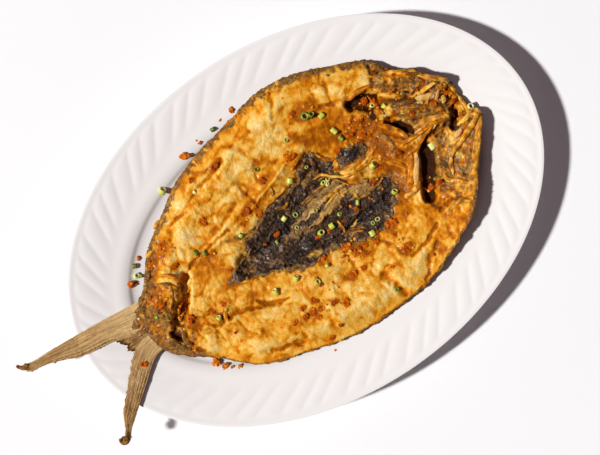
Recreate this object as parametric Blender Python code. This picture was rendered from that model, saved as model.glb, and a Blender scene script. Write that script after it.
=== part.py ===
"""A butterflied fried milkfish with its tail fin, lying on an oval platter.

Metres, +Z up. The origin is the middle of the platter's flat base. +X runs along the
platter's length towards the fish's head, and the fish lies skin down with its cut side up.
Two solids: the platter, and the fish with its tail fin. The fried garlic and the
spring onion that show from a step away are fused to the solid that they lie on.
"""

import math

import bmesh
import bpy
import numpy as np
from mathutils import Euler, Matrix, Vector, noise
from mathutils.bvhtree import BVHTree

# ------------------------------------------------------------------ platter
PLATE_LENGTH = 0.355
PLATE_WIDTH = 0.251
PLATE_HEIGHT = 0.024
FLOOR_HEIGHT = 0.010          # top of the shallow well's floor
LIP_GROOVE = 0.0004           # shallow line just inside the lip
FLUTE_GROUPS = 20             # the flutes come in threes of unequal width
FLUTE_WIDTHS = (0.395, 0.286, 0.319)
FLUTE_START = 0.0045          # inward from the outer edge
FLUTE_END = 0.029
FLUTE_HEIGHT = 0.0005         # crest above valley
FLUTE_FULL = 0.7              # share of its run over which a flute keeps its height
SWEEP_AT_EDGE = 0.82          # sideways run of a flute for each step inward
SWEEP_GAIN = 0.45             # how much more it runs sideways at its inner end

# Top of the platter, read inward from the outer edge: (inset, height).
PLATE_TOP = (
    (0.0000, PLATE_HEIGHT - 0.0008),
    (0.0002, PLATE_HEIGHT - 0.0001),
    (0.0008, PLATE_HEIGHT),
    (FLUTE_START, PLATE_HEIGHT - LIP_GROOVE),
    (0.0110, PLATE_HEIGHT - 0.0012),
    (0.0200, PLATE_HEIGHT - 0.0026),
    (FLUTE_END, PLATE_HEIGHT - 0.0040),
    (0.0385, PLATE_HEIGHT - 0.0056),
    (0.0410, PLATE_HEIGHT - 0.0066),
    (0.0440, PLATE_HEIGHT - 0.0087),
    (0.0458, PLATE_HEIGHT - 0.0094),
    (0.0520, PLATE_HEIGHT - 0.0107),
    (0.0620, PLATE_HEIGHT - 0.0128),
    (0.0720, FLOOR_HEIGHT),
)
# Underside, read inward from the outer edge; the last ring bounds the flat middle.
PLATE_UNDER = (
    (0.0004, PLATE_HEIGHT - 0.0024),
    (0.0030, PLATE_HEIGHT - 0.0042),
    (0.0220, PLATE_HEIGHT - 0.0070),
    (0.0380, PLATE_HEIGHT - 0.0100),
    (0.0460, 0.0088),
    (0.0510, 0.0066),
    (0.0535, 0.0012),
    (0.0545, 0.0000),
    (0.0590, 0.0000),
    (0.0600, 0.0009),
    (0.0650, 0.0009),
    (0.0660, 0.0000),
)
SMOOTH_PLATE = 35             # degrees; sharper edges are drawn sharp
SMOOTH_FISH = 50

# --------------------------------------------------------------------- fish
TOUCH_GAP = 0.0003            # between the flat of the fish and the platter's floor
LEAST_CLEARANCE = 0.0006      # where the snout lies lowest on the wall
RIM_CLEARANCE = 0.0016        # between the fish's curled edge and the platter's wall
TAIL_END = -0.1345            # the body's two ends, along X
HEAD_END = 0.1418
# The body's outline from above, tail to head: (x, y) on the two sides.
FAR_SIDE = (
    (TAIL_END, -0.004), (-0.1285, 0.0140), (-0.1181, 0.0226), (-0.1072, 0.0376),
    (-0.0840, 0.0555), (-0.0649, 0.0690), (-0.0387, 0.0793), (-0.0085, 0.0862),
    (0.0199, 0.0925), (0.0486, 0.0890), (0.0711, 0.0804), (0.0963, 0.0675),
    (0.1044, 0.0575), (0.1165, 0.0481), (0.1304, 0.0330), (0.1372, 0.0245),
    (HEAD_END, -0.0020),
)
NEAR_SIDE = (
    (TAIL_END, -0.004), (-0.1305, -0.0230), (-0.1171, -0.0366), (-0.1015, -0.0481),
    (-0.0832, -0.0650), (-0.0444, -0.0784), (-0.0095, -0.0856), (0.0197, -0.0850),
    (0.0532, -0.0803), (0.0868, -0.0646), (0.1006, -0.0564), (0.1098, -0.0461),
    (0.1234, -0.0258), (0.1346, -0.0121), (HEAD_END, -0.0020),
)
# The gap of the mouth: x, y, its reaches along X and Y, and how far the outline is drawn in.
NOTCHES = ((0.139, 0.0205, 0.016, 0.0045, -0.0016), (0.142, 0.011, 0.016, 0.009, -0.0021))
STATIONS = 48                 # rows of the body's mesh along X
LANES = 27                    # points of each row, side to side
END_INSET = 0.0008            # the first and last rows lie this far in from the ends
OUTLINE_STEPS = 240           # points of each side from which edge distances are read
EDGE_THICKNESS = 0.0035
LEAST_THICKNESS = 0.0021      # under the deepest cavities
# Thickness of the fillets along X, tail to head.
FILLET_THICKNESS = ((-0.1345, 0.0040), (-0.110, 0.0095), (-0.085, 0.0115), (0.000, 0.0130),
                    (0.080, 0.0105), (0.142, 0.0065))
FILLET_RUN = 0.018            # from the thin edge to the full fillet
BOWL_FLAT = 0.25              # share of the footprint that lies flat on the floor
BOWL_RISE = 0.0100            # how far the underside rises where it meets the rim
BOWL_REACH = (0.139, 0.088)   # half sizes of the oval where it has risen that far
CLEARANCE_START = 0.6         # share of that oval where the clearance is full
# How high the edge curls up round the head: degrees from +X, curl.
CURL = (
    (-82, 0.0), (-66, 0.0012), (-54, 0.0030), (-47, 0.0060), (-41, 0.0092), (-35, 0.0114), (-29, 0.0126),
    (-24, 0.0134), (-20, 0.0134), (-16, 0.0122), (-12, 0.0108), (-8, 0.0088), (-4, 0.0062), (0.2, 0.0050),
    (1.6, 0.0), (3, -0.0010), (8.5, -0.0010), (10.3, 0.0), (12.5, 0.0040), (18, 0.0048), (24, 0.0038),
    (36, 0.0024), (50, 0.0008), (65, 0.0),
)
CURL_START = 0.80             # share of the oval where the curl starts
CURL_RUN = 0.20
LUMP_SIZE = 0.022
LUMP_HEIGHT = 0.0012

# Relief of the cut side: height, softness, then a path of (x, y, half width).
RELIEF = (
    # the open belly, and the membrane and rib bones that lie in it
    (-0.0080, 0.62, ((-0.046, -0.005, 0.009), (-0.034, -0.003, 0.014), (0.000, -0.002, 0.024),
                     (0.034, 0.001, 0.034), (0.056, 0.001, 0.027))),
    (0.0030, 0.50, ((-0.010, -0.004, 0.004), (0.018, -0.001, 0.010), (0.040, 0.002, 0.007),
                    (0.072, 0.006, 0.008))),
    (0.0025, 0.60, ((0.014, 0.021, 0.002), (0.030, 0.017, 0.003), (0.047, 0.008, 0.003))),
    # rib line along the far fillet, and the folds of the two fillets
    (0.0016, 0.70, ((-0.068, 0.018, 0.003), (-0.028, 0.030, 0.004), (0.022, 0.043, 0.004))),
    (-0.0015, 0.60, ((-0.082, 0.044, 0.003), (-0.055, 0.057, 0.004), (-0.028, 0.066, 0.003))),
    (-0.0017, 0.60, ((-0.084, -0.026, 0.003), (-0.064, -0.029, 0.003), (-0.046, -0.038, 0.002))),
    (-0.0013, 0.60, ((-0.070, -0.062, 0.003), (-0.048, -0.069, 0.003))),
    (-0.0015, 0.60, ((0.026, -0.062, 0.003), (0.031, -0.078, 0.003))),
    # tail stock: the rounded tongue, the crease beside it and the hollow at the fin's root
    (0.0052, 0.55, ((-0.113, 0.004, 0.010), (-0.104, 0.012, 0.010))),
    (0.0018, 0.60, ((-0.126, -0.012, 0.009), (-0.120, 0.002, 0.009))),
    (0.0025, 0.60, ((-0.118, -0.026, 0.009), (-0.104, -0.034, 0.008))),
    (-0.0045, 0.60, ((-0.091, 0.012, 0.003), (-0.099, -0.002, 0.003), (-0.112, -0.013, 0.004))),
    (-0.0050, 0.60, ((-0.118, -0.017, 0.003), (-0.113, -0.022, 0.003))),
    # head: the two gill cavities, the slit and socket of the far half, the ridge between
    (-0.0085, 0.40, ((0.081, -0.032, 0.0044), (0.0885, -0.018, 0.0058), (0.0965, -0.004, 0.0048))),
    (-0.0065, 0.52, ((0.085, 0.027, 0.003), (0.092, 0.016, 0.003))),
    (-0.0070, 0.58, ((0.069, 0.050, 0.004), (0.080, 0.046, 0.006), (0.088, 0.040, 0.004))),
    (-0.0050, 0.55, ((0.128, 0.010, 0.003), (0.121, -0.001, 0.003))),
    (0.0030, 0.60, ((0.076, 0.018, 0.003), (0.086, 0.007, 0.003), (0.122, 0.008, 0.003))),
    (0.0035, 0.60, ((0.096, 0.052, 0.005), (0.118, 0.040, 0.006), (0.130, 0.029, 0.004))),
    (0.0015, 0.60, ((0.098, -0.040, 0.006), (0.116, -0.026, 0.007), (0.137, -0.004, 0.004))),
    (-0.0012, 0.60, ((0.136, 0.024, 0.003), (0.137, 0.014, 0.004), (0.138, 0.007, 0.003))),
    (0.0030, 0.60, ((0.100, 0.028, 0.006), (0.120, 0.020, 0.005))),
)

# The tail fin's two lobes and the web between them, root to tip: (x, y) on each edge, then
# the heights at both ends.
FAR_LOBE = {
    "edge_a": ((-0.116, 0.014), (-0.132, 0.0155), (-0.162, 0.0177), (-0.196, 0.0191),
               (-0.213, 0.0197), (-0.2185, 0.0212), (-0.2208, 0.0231)),
    "edge_b": ((-0.116, -0.006), (-0.142, -0.0035), (-0.157, 0.0010), (-0.178, 0.0037),
               (-0.201, 0.0117), (-0.2170, 0.0156), (-0.2202, 0.0200)),
    "root_z": 0.0190,
    "tip_z": 0.0312,
}
NEAR_LOBE = {
    "edge_a": ((-0.120, -0.004), (-0.148, -0.0128), (-0.1592, -0.0240), (-0.168, -0.0343),
               (-0.1765, -0.0440), (-0.1812, -0.0540), (-0.1846, -0.0580), (-0.1880, -0.0578)),
    "edge_b": ((-0.118, -0.023), (-0.134, -0.0225), (-0.155, -0.0375), (-0.1675, -0.0480),
               (-0.1780, -0.0570), (-0.1835, -0.0628), (-0.1885, -0.0620)),
    "root_z": 0.0195,
    "tip_z": 0.0312,
}
WEB = {
    "edge_a": ((-0.120, 0.0080), (-0.142, 0.0030), (-0.1555, 0.0008)),
    "edge_b": ((-0.120, -0.0150), (-0.138, -0.0125), (-0.1485, -0.0105)),
    "root_z": 0.0188,
    "tip_z": 0.0222,
}
LOBE_ROWS = 13
LOBE_LANES = 6
LOBE_THICKNESS = 0.0022
LOBE_TAPER = 0.35             # share of that thickness lost at the tip
RAY_RELIEF = 0.0006

# ----------------------------------------------------------------- toppings
ONION_RADIUS = (0.0026, 0.0036)
ONION_LENGTH = 0.0034
GARLIC_RADIUS = (0.0018, 0.0030)
GARLIC_SHAPE = (1.25, 0.95, 0.75)
TOPPING_SPACING = 0.0085
TOPPING_SEED = 7
# Where they lie on the fish: centre x, y, half sizes, spring onions, garlic bits.
TOPPING_ZONES = (
    (0.016, 0.000, 0.052, 0.030, 12, 5),
    (-0.012, -0.052, 0.066, 0.020, 3, 12),
    (0.060, 0.030, 0.036, 0.028, 5, 6),
    (-0.088, 0.012, 0.026, 0.034, 2, 6),
    (-0.020, 0.054, 0.050, 0.018, 3, 3),
)
# Loose bits on the platter beside the fish: kind, x, y, radius.
PLATE_BITS = (
    ("garlic", -0.0480, 0.0850, 0.0030), ("onion", -0.0745, 0.0700, 0.0027),
    ("onion", -0.0215, 0.0905, 0.0021), ("garlic", -0.1265, 0.0280, 0.0025),
    ("onion", -0.1200, 0.0360, 0.0024), ("garlic", -0.1110, -0.0510, 0.0034),
    ("garlic", -0.1040, -0.0570, 0.0023), ("garlic", -0.0950, -0.0640, 0.0020),
)
TOPPING_SINK = 0.30           # share of a bit's height that is below the surface
TOPPING_LEAN = 0.5            # radians, at most
PLACING_TRIES = 200

# Materials: base colour (linear), roughness, coat.
PLATE_FINISH = ((0.88, 0.86, 0.83, 1.0), 0.22, 0.4)
FISH_FINISH = ((0.62, 0.28, 0.06, 1.0), 0.42, 0.15)


# ------------------------------------------------------------------ helpers
def clear_scene():
    for thing in list(bpy.data.objects):
        bpy.data.objects.remove(thing, do_unlink=True)


def finish(name, colour, roughness, coat):
    """A plain principled material."""
    material = bpy.data.materials.new(name)
    material.use_nodes = True
    shader = material.node_tree.nodes["Principled BSDF"]
    shader.inputs["Base Color"].default_value = colour
    shader.inputs["Roughness"].default_value = roughness
    shader.inputs["Metallic"].default_value = 0.0
    shader.inputs["Coat Weight"].default_value = coat
    material.diffuse_color = colour
    return material


def new_object(name, vertices, faces, material):
    mesh = bpy.data.meshes.new(name)
    mesh.from_pydata([tuple(v) for v in vertices], [], faces)
    mesh.update()
    mesh.materials.append(material)
    thing = bpy.data.objects.new(name, mesh)
    bpy.context.scene.collection.objects.link(thing)
    return thing


def smooth_step(value):
    value = np.clip(value, 0.0, 1.0)
    return value * value * (3.0 - 2.0 * value)


def through(where, knots, values):
    """A smooth curve through (knots, values), read at where."""
    knots = np.asarray(knots, float)
    values = np.asarray(values, float)
    slopes = np.gradient(values, knots)
    cell = np.clip(np.searchsorted(knots, where) - 1, 0, len(knots) - 2)
    width = knots[cell + 1] - knots[cell]
    u = np.clip((where - knots[cell]) / width, 0.0, 1.0)
    start = (1 + 2 * u) * (1 - u) ** 2 * values[cell] + u * (1 - u) ** 2 * width * slopes[cell]
    end = u * u * (3 - 2 * u) * values[cell + 1] + u * u * (u - 1) * width * slopes[cell + 1]
    return start + end


def fuse(base, pieces, name):
    """Join pieces to the base with one union, apply it and remove them."""
    group = bpy.data.collections.new(name)
    bpy.context.scene.collection.children.link(group)
    for piece in pieces:
        for holder in list(piece.users_collection):
            holder.objects.unlink(piece)
        group.objects.link(piece)
    union = base.modifiers.new(name, "BOOLEAN")
    union.operation = "UNION"
    union.operand_type = "COLLECTION"
    union.collection = group
    union.solver = "EXACT"
    graph = bpy.context.evaluated_depsgraph_get()
    joined = bpy.data.meshes.new_from_object(base.evaluated_get(graph))
    base.modifiers.clear()
    base.data = joined
    for piece in pieces:
        bpy.data.objects.remove(piece, do_unlink=True)
    bpy.data.collections.remove(group)


def shade(thing, sharp_degrees):
    thing.data.shade_smooth()
    thing.data.set_sharp_from_angle(angle=math.radians(sharp_degrees))


# ------------------------------------------------------------------ platter
class PlateEdge:
    """The platter's outer ellipse, read by arc length, clockwise from its tail end."""

    def __init__(self, samples=1440):
        self.half_x = PLATE_LENGTH / 2
        self.half_y = PLATE_WIDTH / 2
        self.angles = math.pi - np.linspace(0.0, 2 * math.pi, samples + 1)
        points = self.at_angle(self.angles)
        steps = np.linalg.norm(np.diff(points, axis=0), axis=1)
        self.lengths = np.concatenate(([0.0], np.cumsum(steps)))
        self.perimeter = self.lengths[-1]
        self.points = points[:-1]

    def at_angle(self, angles):
        return np.stack((self.half_x * np.cos(angles), self.half_y * np.sin(angles)), axis=-1)

    def inset_point(self, length, inset):
        """The point that lies inset from the edge, square to it."""
        angle = np.interp(length % self.perimeter, self.lengths, self.angles)
        out = np.array((math.cos(angle) / self.half_x, math.sin(angle) / self.half_y))
        out /= np.linalg.norm(out)
        return self.at_angle(angle) - out * inset

    def inset_of(self, x, y):
        """How far inward from the edge each point lies."""
        gap = np.full(x.shape, np.inf)
        for edge_x, edge_y in self.points:
            gap = np.minimum(gap, np.hypot(x - edge_x, y - edge_y))
        outside = (x / self.half_x) ** 2 + (y / self.half_y) ** 2 > 1.0
        return np.where(outside, -gap, gap)


EDGE = PlateEdge()


def plate_top(x, y):
    """Height of the platter's top without its flutes."""
    insets, heights = zip(*PLATE_TOP)
    return np.interp(EDGE.inset_of(x, y), insets, heights)


def flute_sweep(inset):
    """How far round the edge a flute has swung at this inset."""
    run = min(inset, FLUTE_END)
    return SWEEP_AT_EDGE * run + 0.5 * SWEEP_GAIN * run * run / FLUTE_END


def flute_fade(inset):
    """1 along a flute, 0 at both its ends."""
    inside = (inset - FLUTE_START) / (FLUTE_END - FLUTE_START)
    return 1.0 if 0.0 < inside < FLUTE_FULL else 0.0


def flute_columns():
    """Arc lengths of the flutes' valleys and crests in turn, round the edge."""
    group = EDGE.perimeter / FLUTE_GROUPS
    columns = []
    for number in range(FLUTE_GROUPS):
        start = number * group
        for width in FLUTE_WIDTHS:
            columns += [start, start + width * group / 2]
            start += width * group
    return columns


def make_plate(material):
    columns = flute_columns()
    vertices = []
    for inset, height in PLATE_TOP:
        for number, length in enumerate(columns):
            crest = 0.5 if number % 2 else -0.5
            x, y = EDGE.inset_point(length - flute_sweep(inset), inset)
            vertices.append((x, y, height + crest * FLUTE_HEIGHT * flute_fade(inset)))
    valleys = columns[::2]
    for inset, height in PLATE_UNDER:
        for length in valleys:
            x, y = EDGE.inset_point(length, inset)
            vertices.append((x, y, height))

    fine = len(columns)
    coarse = len(valleys)
    faces = []
    for ring in range(len(PLATE_TOP) - 1):
        outer = ring * fine
        for i in range(fine):
            j = (i + 1) % fine
            faces.append((outer + i, outer + j, outer + fine + j, outer + fine + i))
    floor = (len(PLATE_TOP) - 1) * fine
    faces.append(tuple(range(floor, floor + fine)))
    under = len(PLATE_TOP) * fine
    for i in range(coarse):
        j = (i + 1) % coarse
        rim = (2 * i, 2 * i + 1, (2 * i + 2) % fine)
        faces += [(rim[1], rim[0], under + i), (rim[1], under + i, under + j),
                  (rim[2], rim[1], under + j)]
    for ring in range(len(PLATE_UNDER) - 1):
        outer = under + ring * coarse
        for i in range(coarse):
            j = (i + 1) % coarse
            faces.append((outer + j, outer + i, outer + coarse + i, outer + coarse + j))
    base = under + (len(PLATE_UNDER) - 1) * coarse
    faces.append(tuple(reversed(range(base, base + coarse))))

    plate = new_object("plate", vertices, faces, material)
    body = bmesh.new()
    body.from_mesh(plate.data)
    bmesh.ops.recalc_face_normals(body, faces=body.faces)
    body.to_mesh(plate.data)
    body.free()
    return plate


# --------------------------------------------------------------------- fish
def body_side(x, side):
    """The outline's y on one side. Both sides close round at the body's ends."""
    middle = (TAIL_END + HEAD_END) / 2
    half = (HEAD_END - TAIL_END) / 2

    def turn(place):
        return np.arccos(np.clip((middle - np.asarray(place)) / half, -1.0, 1.0))

    knot_x, knot_y = zip(*side)
    return through(turn(x), turn(knot_x), knot_y)


def line_distance(x, y, path):
    """Distance from a path, as a share of its half width there."""
    best = np.full(x.shape, np.inf)
    for (ax, ay, aw), (bx, by, bw) in zip(path, path[1:]):
        run = (bx - ax) ** 2 + (by - ay) ** 2
        u = np.clip(((x - ax) * (bx - ax) + (y - ay) * (by - ay)) / run, 0.0, 1.0)
        gap = np.hypot(x - ax - u * (bx - ax), y - ay - u * (by - ay))
        best = np.minimum(best, gap / (aw + u * (bw - aw)))
    return best


def relief(x, y):
    """Folds, cavities and ridges of the cut side."""
    total = np.zeros(x.shape)
    for height, softness, path in RELIEF:
        share = line_distance(x, y, path)
        total += height * smooth_step((1.0 + softness - share) / (2.0 * softness))
    return total


def lumps(x, y):
    """Broad unevenness of the fried flesh."""
    spots = [noise.noise(Vector((a / LUMP_SIZE, b / LUMP_SIZE, 0.0))) for a, b in
             zip(x.ravel(), y.ravel())]
    return LUMP_HEIGHT * np.array(spots).reshape(x.shape)


def outline_gap(x, y):
    """Distance from the body's outline."""
    spread = np.linspace(0.0, math.pi, OUTLINE_STEPS)
    xs = (TAIL_END + HEAD_END) / 2 - (HEAD_END - TAIL_END) / 2 * np.cos(spread)
    gap = np.full(x.shape, np.inf)
    for side in (FAR_SIDE, NEAR_SIDE):
        for edge_x, edge_y in zip(xs, body_side(xs, side)):
            gap = np.minimum(gap, np.hypot(x - edge_x, y - edge_y))
    return gap


def fish_underside(x, y):
    """The skin side: flat on the platter's floor, curling up with its rim."""
    share = np.hypot(x / BOWL_REACH[0], y / BOWL_REACH[1])
    bowl = np.maximum(share - BOWL_FLAT, 0.0) / (1.0 - BOWL_FLAT)
    resting = FLOOR_HEIGHT + TOUCH_GAP + BOWL_RISE * bowl ** 2
    wall = plate_top(x, y)
    clear = wall + RIM_CLEARANCE * smooth_step(share / CLEARANCE_START)
    curl = np.interp(np.degrees(np.arctan2(y, x)), *zip(*CURL)) * smooth_step((share - CURL_START) / CURL_RUN)
    return np.maximum(np.maximum(resting, clear) + curl, wall + LEAST_CLEARANCE)


def fish_top(x, y):
    full = smooth_step(outline_gap(x, y) / FILLET_RUN)
    fillet = through(x, *zip(*FILLET_THICKNESS))
    thickness = EDGE_THICKNESS + (fillet - EDGE_THICKNESS) * full
    shape = thickness + relief(x, y) + lumps(x, y) * full
    return fish_underside(x, y) + np.maximum(shape, LEAST_THICKNESS)


def closed_slab(name, top, under, material):
    """A closed mesh between two grids of points of the same size."""
    rows, lanes = top.shape[:2]
    vertices = list(top.reshape(-1, 3)) + list(under.reshape(-1, 3))
    below = rows * lanes
    faces = []
    for i in range(rows - 1):
        for j in range(lanes - 1):
            a = i * lanes + j
            faces.append((a, a + lanes, a + lanes + 1, a + 1))
            faces.append((below + a, below + a + 1, below + a + lanes + 1, below + a + lanes))
    rim = [j for j in range(lanes)]
    rim += [i * lanes + lanes - 1 for i in range(1, rows)]
    rim += [(rows - 1) * lanes + j for j in range(lanes - 2, -1, -1)]
    rim += [i * lanes for i in range(rows - 2, 0, -1)]
    for a, b in zip(rim, rim[1:] + rim[:1]):
        faces.append((a, b, below + b, below + a))
    slab = new_object(name, vertices, faces, material)
    body = bmesh.new()
    body.from_mesh(slab.data)
    bmesh.ops.recalc_face_normals(body, faces=body.faces)
    body.to_mesh(slab.data)
    body.free()
    return slab


def make_body(material):
    along = np.linspace(0.0, 1.0, STATIONS)
    spread = -0.5 * np.cos(math.pi * along) + 0.5 * (2.0 * along - 1.0)
    x = (TAIL_END + HEAD_END) / 2 + (HEAD_END - TAIL_END) / 2 * spread
    x[0] += END_INSET
    x[-1] -= END_INSET
    far = body_side(x, FAR_SIDE)
    near = body_side(x, NEAR_SIDE)
    across = np.linspace(0.0, 1.0, LANES)
    grid_x = np.repeat(x[:, None], LANES, axis=1)
    grid_y = near[:, None] + (far - near)[:, None] * across[None, :]
    for notch_x, notch_y, reach_x, reach_y, shift in NOTCHES:
        away = np.hypot((grid_x - notch_x) / reach_x, (grid_y - notch_y) / reach_y)
        grid_x = grid_x + shift * smooth_step(1.3 - away)
    top = np.stack((grid_x, grid_y, fish_top(grid_x, grid_y)), axis=-1)
    under = np.stack((grid_x, grid_y, fish_underside(grid_x, grid_y)), axis=-1)
    return closed_slab("fish", top, under, material)


def make_lobe(name, lobe, material):
    """One lobe of the tail fin: a thin blade with raised rays and a curled tip."""
    s = np.linspace(0.0, 1.0, LOBE_ROWS)
    edges = []
    for key in ("edge_a", "edge_b"):
        points = np.array(lobe[key])
        steps = np.linalg.norm(np.diff(points, axis=0), axis=1)
        knots = np.concatenate(([0.0], np.cumsum(steps))) / steps.sum()
        edges.append(np.stack([through(s, knots, points[:, k]) for k in (0, 1)], axis=-1))
    across = np.linspace(0.0, 1.0, LOBE_LANES)
    flat = edges[0][:, None, :] + (edges[1] - edges[0])[:, None, :] * across[None, :, None]
    height = lobe["root_z"] + (lobe["tip_z"] - lobe["root_z"]) * s
    height = np.repeat(height[:, None], LOBE_LANES, axis=1)
    rays = RAY_RELIEF * np.where(np.arange(LOBE_LANES) % 2, 0.5, -0.5)
    thickness = LOBE_THICKNESS * (1.0 - LOBE_TAPER * s)[:, None] * np.ones(LOBE_LANES)
    top = np.dstack((flat, height + thickness / 2 + rays))
    under = np.dstack((flat, height - thickness / 2))
    return closed_slab(name, top, under, material)


# ----------------------------------------------------------------- toppings
def make_onion(place, radius, turn, material):
    """A short cut length of spring onion, eight-sided."""
    body = bmesh.new()
    bmesh.ops.create_cone(body, cap_ends=True, segments=8, radius1=radius, radius2=radius,
                          depth=ONION_LENGTH)
    return placed_bit("onion", body, place, turn, material)


def make_garlic(place, radius, turn, material):
    """A chipped bit of fried garlic, twenty-sided."""
    body = bmesh.new()
    bmesh.ops.create_icosphere(body, subdivisions=1, radius=radius)
    bmesh.ops.scale(body, vec=GARLIC_SHAPE, verts=body.verts)
    return placed_bit("garlic", body, place, turn, material)


def placed_bit(name, body, place, turn, material):
    move = Matrix.Translation(place) @ Euler(turn).to_matrix().to_4x4()
    bmesh.ops.transform(body, matrix=move, verts=body.verts)
    mesh = bpy.data.meshes.new(name)
    body.to_mesh(mesh)
    body.free()
    mesh.materials.append(material)
    bit = bpy.data.objects.new(name, mesh)
    bpy.context.scene.collection.objects.link(bit)
    return bit


def height_over(tree, x, y):
    """Where a line straight down meets the mesh first."""
    above = Vector((x, y, 3 * PLATE_HEIGHT))
    return tree.ray_cast(above, Vector((0.0, 0.0, -1.0)))[0].z


def surface_tree(thing):
    return BVHTree.FromPolygons([v.co for v in thing.data.vertices],
                                [tuple(p.vertices) for p in thing.data.polygons])


def make_fish_toppings(fish, material):
    """Bits spread over each zone at a least spacing, by a seeded draw."""
    tree = surface_tree(fish)
    draw = np.random.RandomState(TOPPING_SEED)
    taken = []
    bits = []
    for centre_x, centre_y, half_x, half_y, onions, garlic in TOPPING_ZONES:
        kinds = ["onion"] * onions + ["garlic"] * garlic
        for kind in kinds:
            spot = free_spot(draw, taken, (centre_x, centre_y), (half_x, half_y))
            if spot is None:
                continue
            taken.append(spot)
            low, high = ONION_RADIUS if kind == "onion" else GARLIC_RADIUS
            radius = draw.uniform(low, high)
            turn = (*draw.uniform(-TOPPING_LEAN, TOPPING_LEAN, 2), draw.uniform(0.0, math.pi))
            half_height = ONION_LENGTH / 2 if kind == "onion" else radius * GARLIC_SHAPE[2]
            surface = height_over(tree, *spot)
            place = Vector((*spot, surface + half_height * (1.0 - 2.0 * TOPPING_SINK)))
            make = make_onion if kind == "onion" else make_garlic
            bits.append(make(place, radius, turn, material))
    return bits


def free_spot(draw, taken, centre, half):
    """A point of an oval zone that keeps the least spacing to all earlier ones."""
    for _ in range(PLACING_TRIES):
        angle = draw.uniform(0.0, 2 * math.pi)
        reach = math.sqrt(draw.uniform(0.0, 1.0))
        x = centre[0] + half[0] * reach * math.cos(angle)
        y = centre[1] + half[1] * reach * math.sin(angle)
        if all(math.hypot(x - a, y - b) > TOPPING_SPACING for a, b in taken):
            return (x, y)
    return None


def make_plate_toppings(plate, material):
    tree = surface_tree(plate)
    bits = []
    for number, (kind, x, y, radius) in enumerate(PLATE_BITS):
        half_height = ONION_LENGTH / 2 if kind == "onion" else radius * GARLIC_SHAPE[2]
        surface = height_over(tree, x, y)
        place = Vector((x, y, surface + half_height * (1.0 - 2.0 * TOPPING_SINK)))
        turn = (TOPPING_LEAN * math.sin(number), TOPPING_LEAN * math.cos(number), number)
        make = make_onion if kind == "onion" else make_garlic
        bits.append(make(place, radius, turn, material))
    return bits


def main():
    clear_scene()
    glaze = finish("glazed_platter", *PLATE_FINISH)
    crust = finish("fried_fish", *FISH_FINISH)

    plate = make_plate(glaze)
    fuse(plate, make_plate_toppings(plate, glaze), "loose_bits")
    shade(plate, SMOOTH_PLATE)

    fish = make_body(crust)
    parts = [make_lobe("far_lobe", FAR_LOBE, crust), make_lobe("near_lobe", NEAR_LOBE, crust),
             make_lobe("fin_web", WEB, crust)]
    fuse(fish, parts + make_fish_toppings(fish, crust), "fin_and_toppings")
    shade(fish, SMOOTH_FISH)


main()
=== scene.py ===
"""The looks of a butterflied fried milkfish on an oval fluted platter.

Metres, +Z up; tables marked MM are in millimetres. +X runs along the platter towards the
fish's head, and "far" is +Y. The fish's form is worked out here with the same rules as its
solid, at a finer step, and the fried crust, the belly's lining, the bones, the fin rays and
the toppings are added to it.
"""

import math

import bmesh
import bpy
import numpy as np
from mathutils import Euler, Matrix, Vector, noise
from mathutils.bvhtree import BVHTree


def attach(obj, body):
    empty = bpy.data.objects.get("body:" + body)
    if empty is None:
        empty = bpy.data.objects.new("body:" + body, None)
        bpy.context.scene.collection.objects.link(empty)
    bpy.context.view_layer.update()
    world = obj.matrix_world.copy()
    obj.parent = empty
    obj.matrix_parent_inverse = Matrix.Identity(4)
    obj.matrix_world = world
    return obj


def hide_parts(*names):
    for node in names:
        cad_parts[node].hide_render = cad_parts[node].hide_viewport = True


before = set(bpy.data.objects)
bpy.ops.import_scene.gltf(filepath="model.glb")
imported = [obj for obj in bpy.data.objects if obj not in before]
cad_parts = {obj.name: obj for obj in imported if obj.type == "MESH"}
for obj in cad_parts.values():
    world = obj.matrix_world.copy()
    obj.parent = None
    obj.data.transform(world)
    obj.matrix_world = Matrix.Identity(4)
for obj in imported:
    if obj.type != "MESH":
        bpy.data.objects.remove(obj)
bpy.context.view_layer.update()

MM = 0.001

# ------------------------------------------------------------- photograph's view
CAMERA_SPOT = (-0.0061, -0.00205, 1.024)   # straight above the platter
CAMERA_TURN = -32.57                       # degrees; the platter lies aslant in the picture
LENS = 87.2                                # millimetres, as the sensor's width
SENSOR = 36.0
SUN_HEADING = (-0.945, 0.327)              # where the light comes from, seen from above
SUN_HEIGHT = 46.4                          # degrees above the floor
SUN_DISTANCE = 14.0
SUN_SIZE = 1.05
SUN_POWER = 2690.0
SKY_COLOUR = (0.127, 0.096, 0.110, 1.0)    # the soft fill, a little violet
BACKDROP = (0.95, 0.95, 0.95, 1.0)
FLOOR_SIDE = 6.0
FLOOR_DROP = 0.0003
LIT_GAIN = 1.13                            # display value of a level surface over its colour

# ----------------------------------------------------------------------- platter
PLATE_LENGTH = 0.355
PLATE_WIDTH = 0.251
PLATE_HEIGHT = 0.024
FLOOR_HEIGHT = 0.010
LIP_GROOVE = 0.0004
FLUTE_GROUPS = 20
FLUTE_WIDTHS = (0.395, 0.286, 0.319)
FLUTE_START = 0.0045
FLUTE_END = 0.029
FLUTE_HEIGHT = 0.00043
FLUTE_SHARPNESS = 0.75           # below 1 the crests are broad and the valleys narrow
FLUTE_RISE = 0.14                # shares of the fluted run over which they fade in and out
FLUTE_FALL = 0.66
SWEEP_AT_EDGE = 0.82
SWEEP_GAIN = 0.45
PLATE_COLUMNS = 780
EDGE_STEPS = 2048                # straight stretches of the outer edge, for the platter itself
WALL_STEPS = 480                 # and for the wall that the fish lies over
SEAM_GAP = 0.00001
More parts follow.
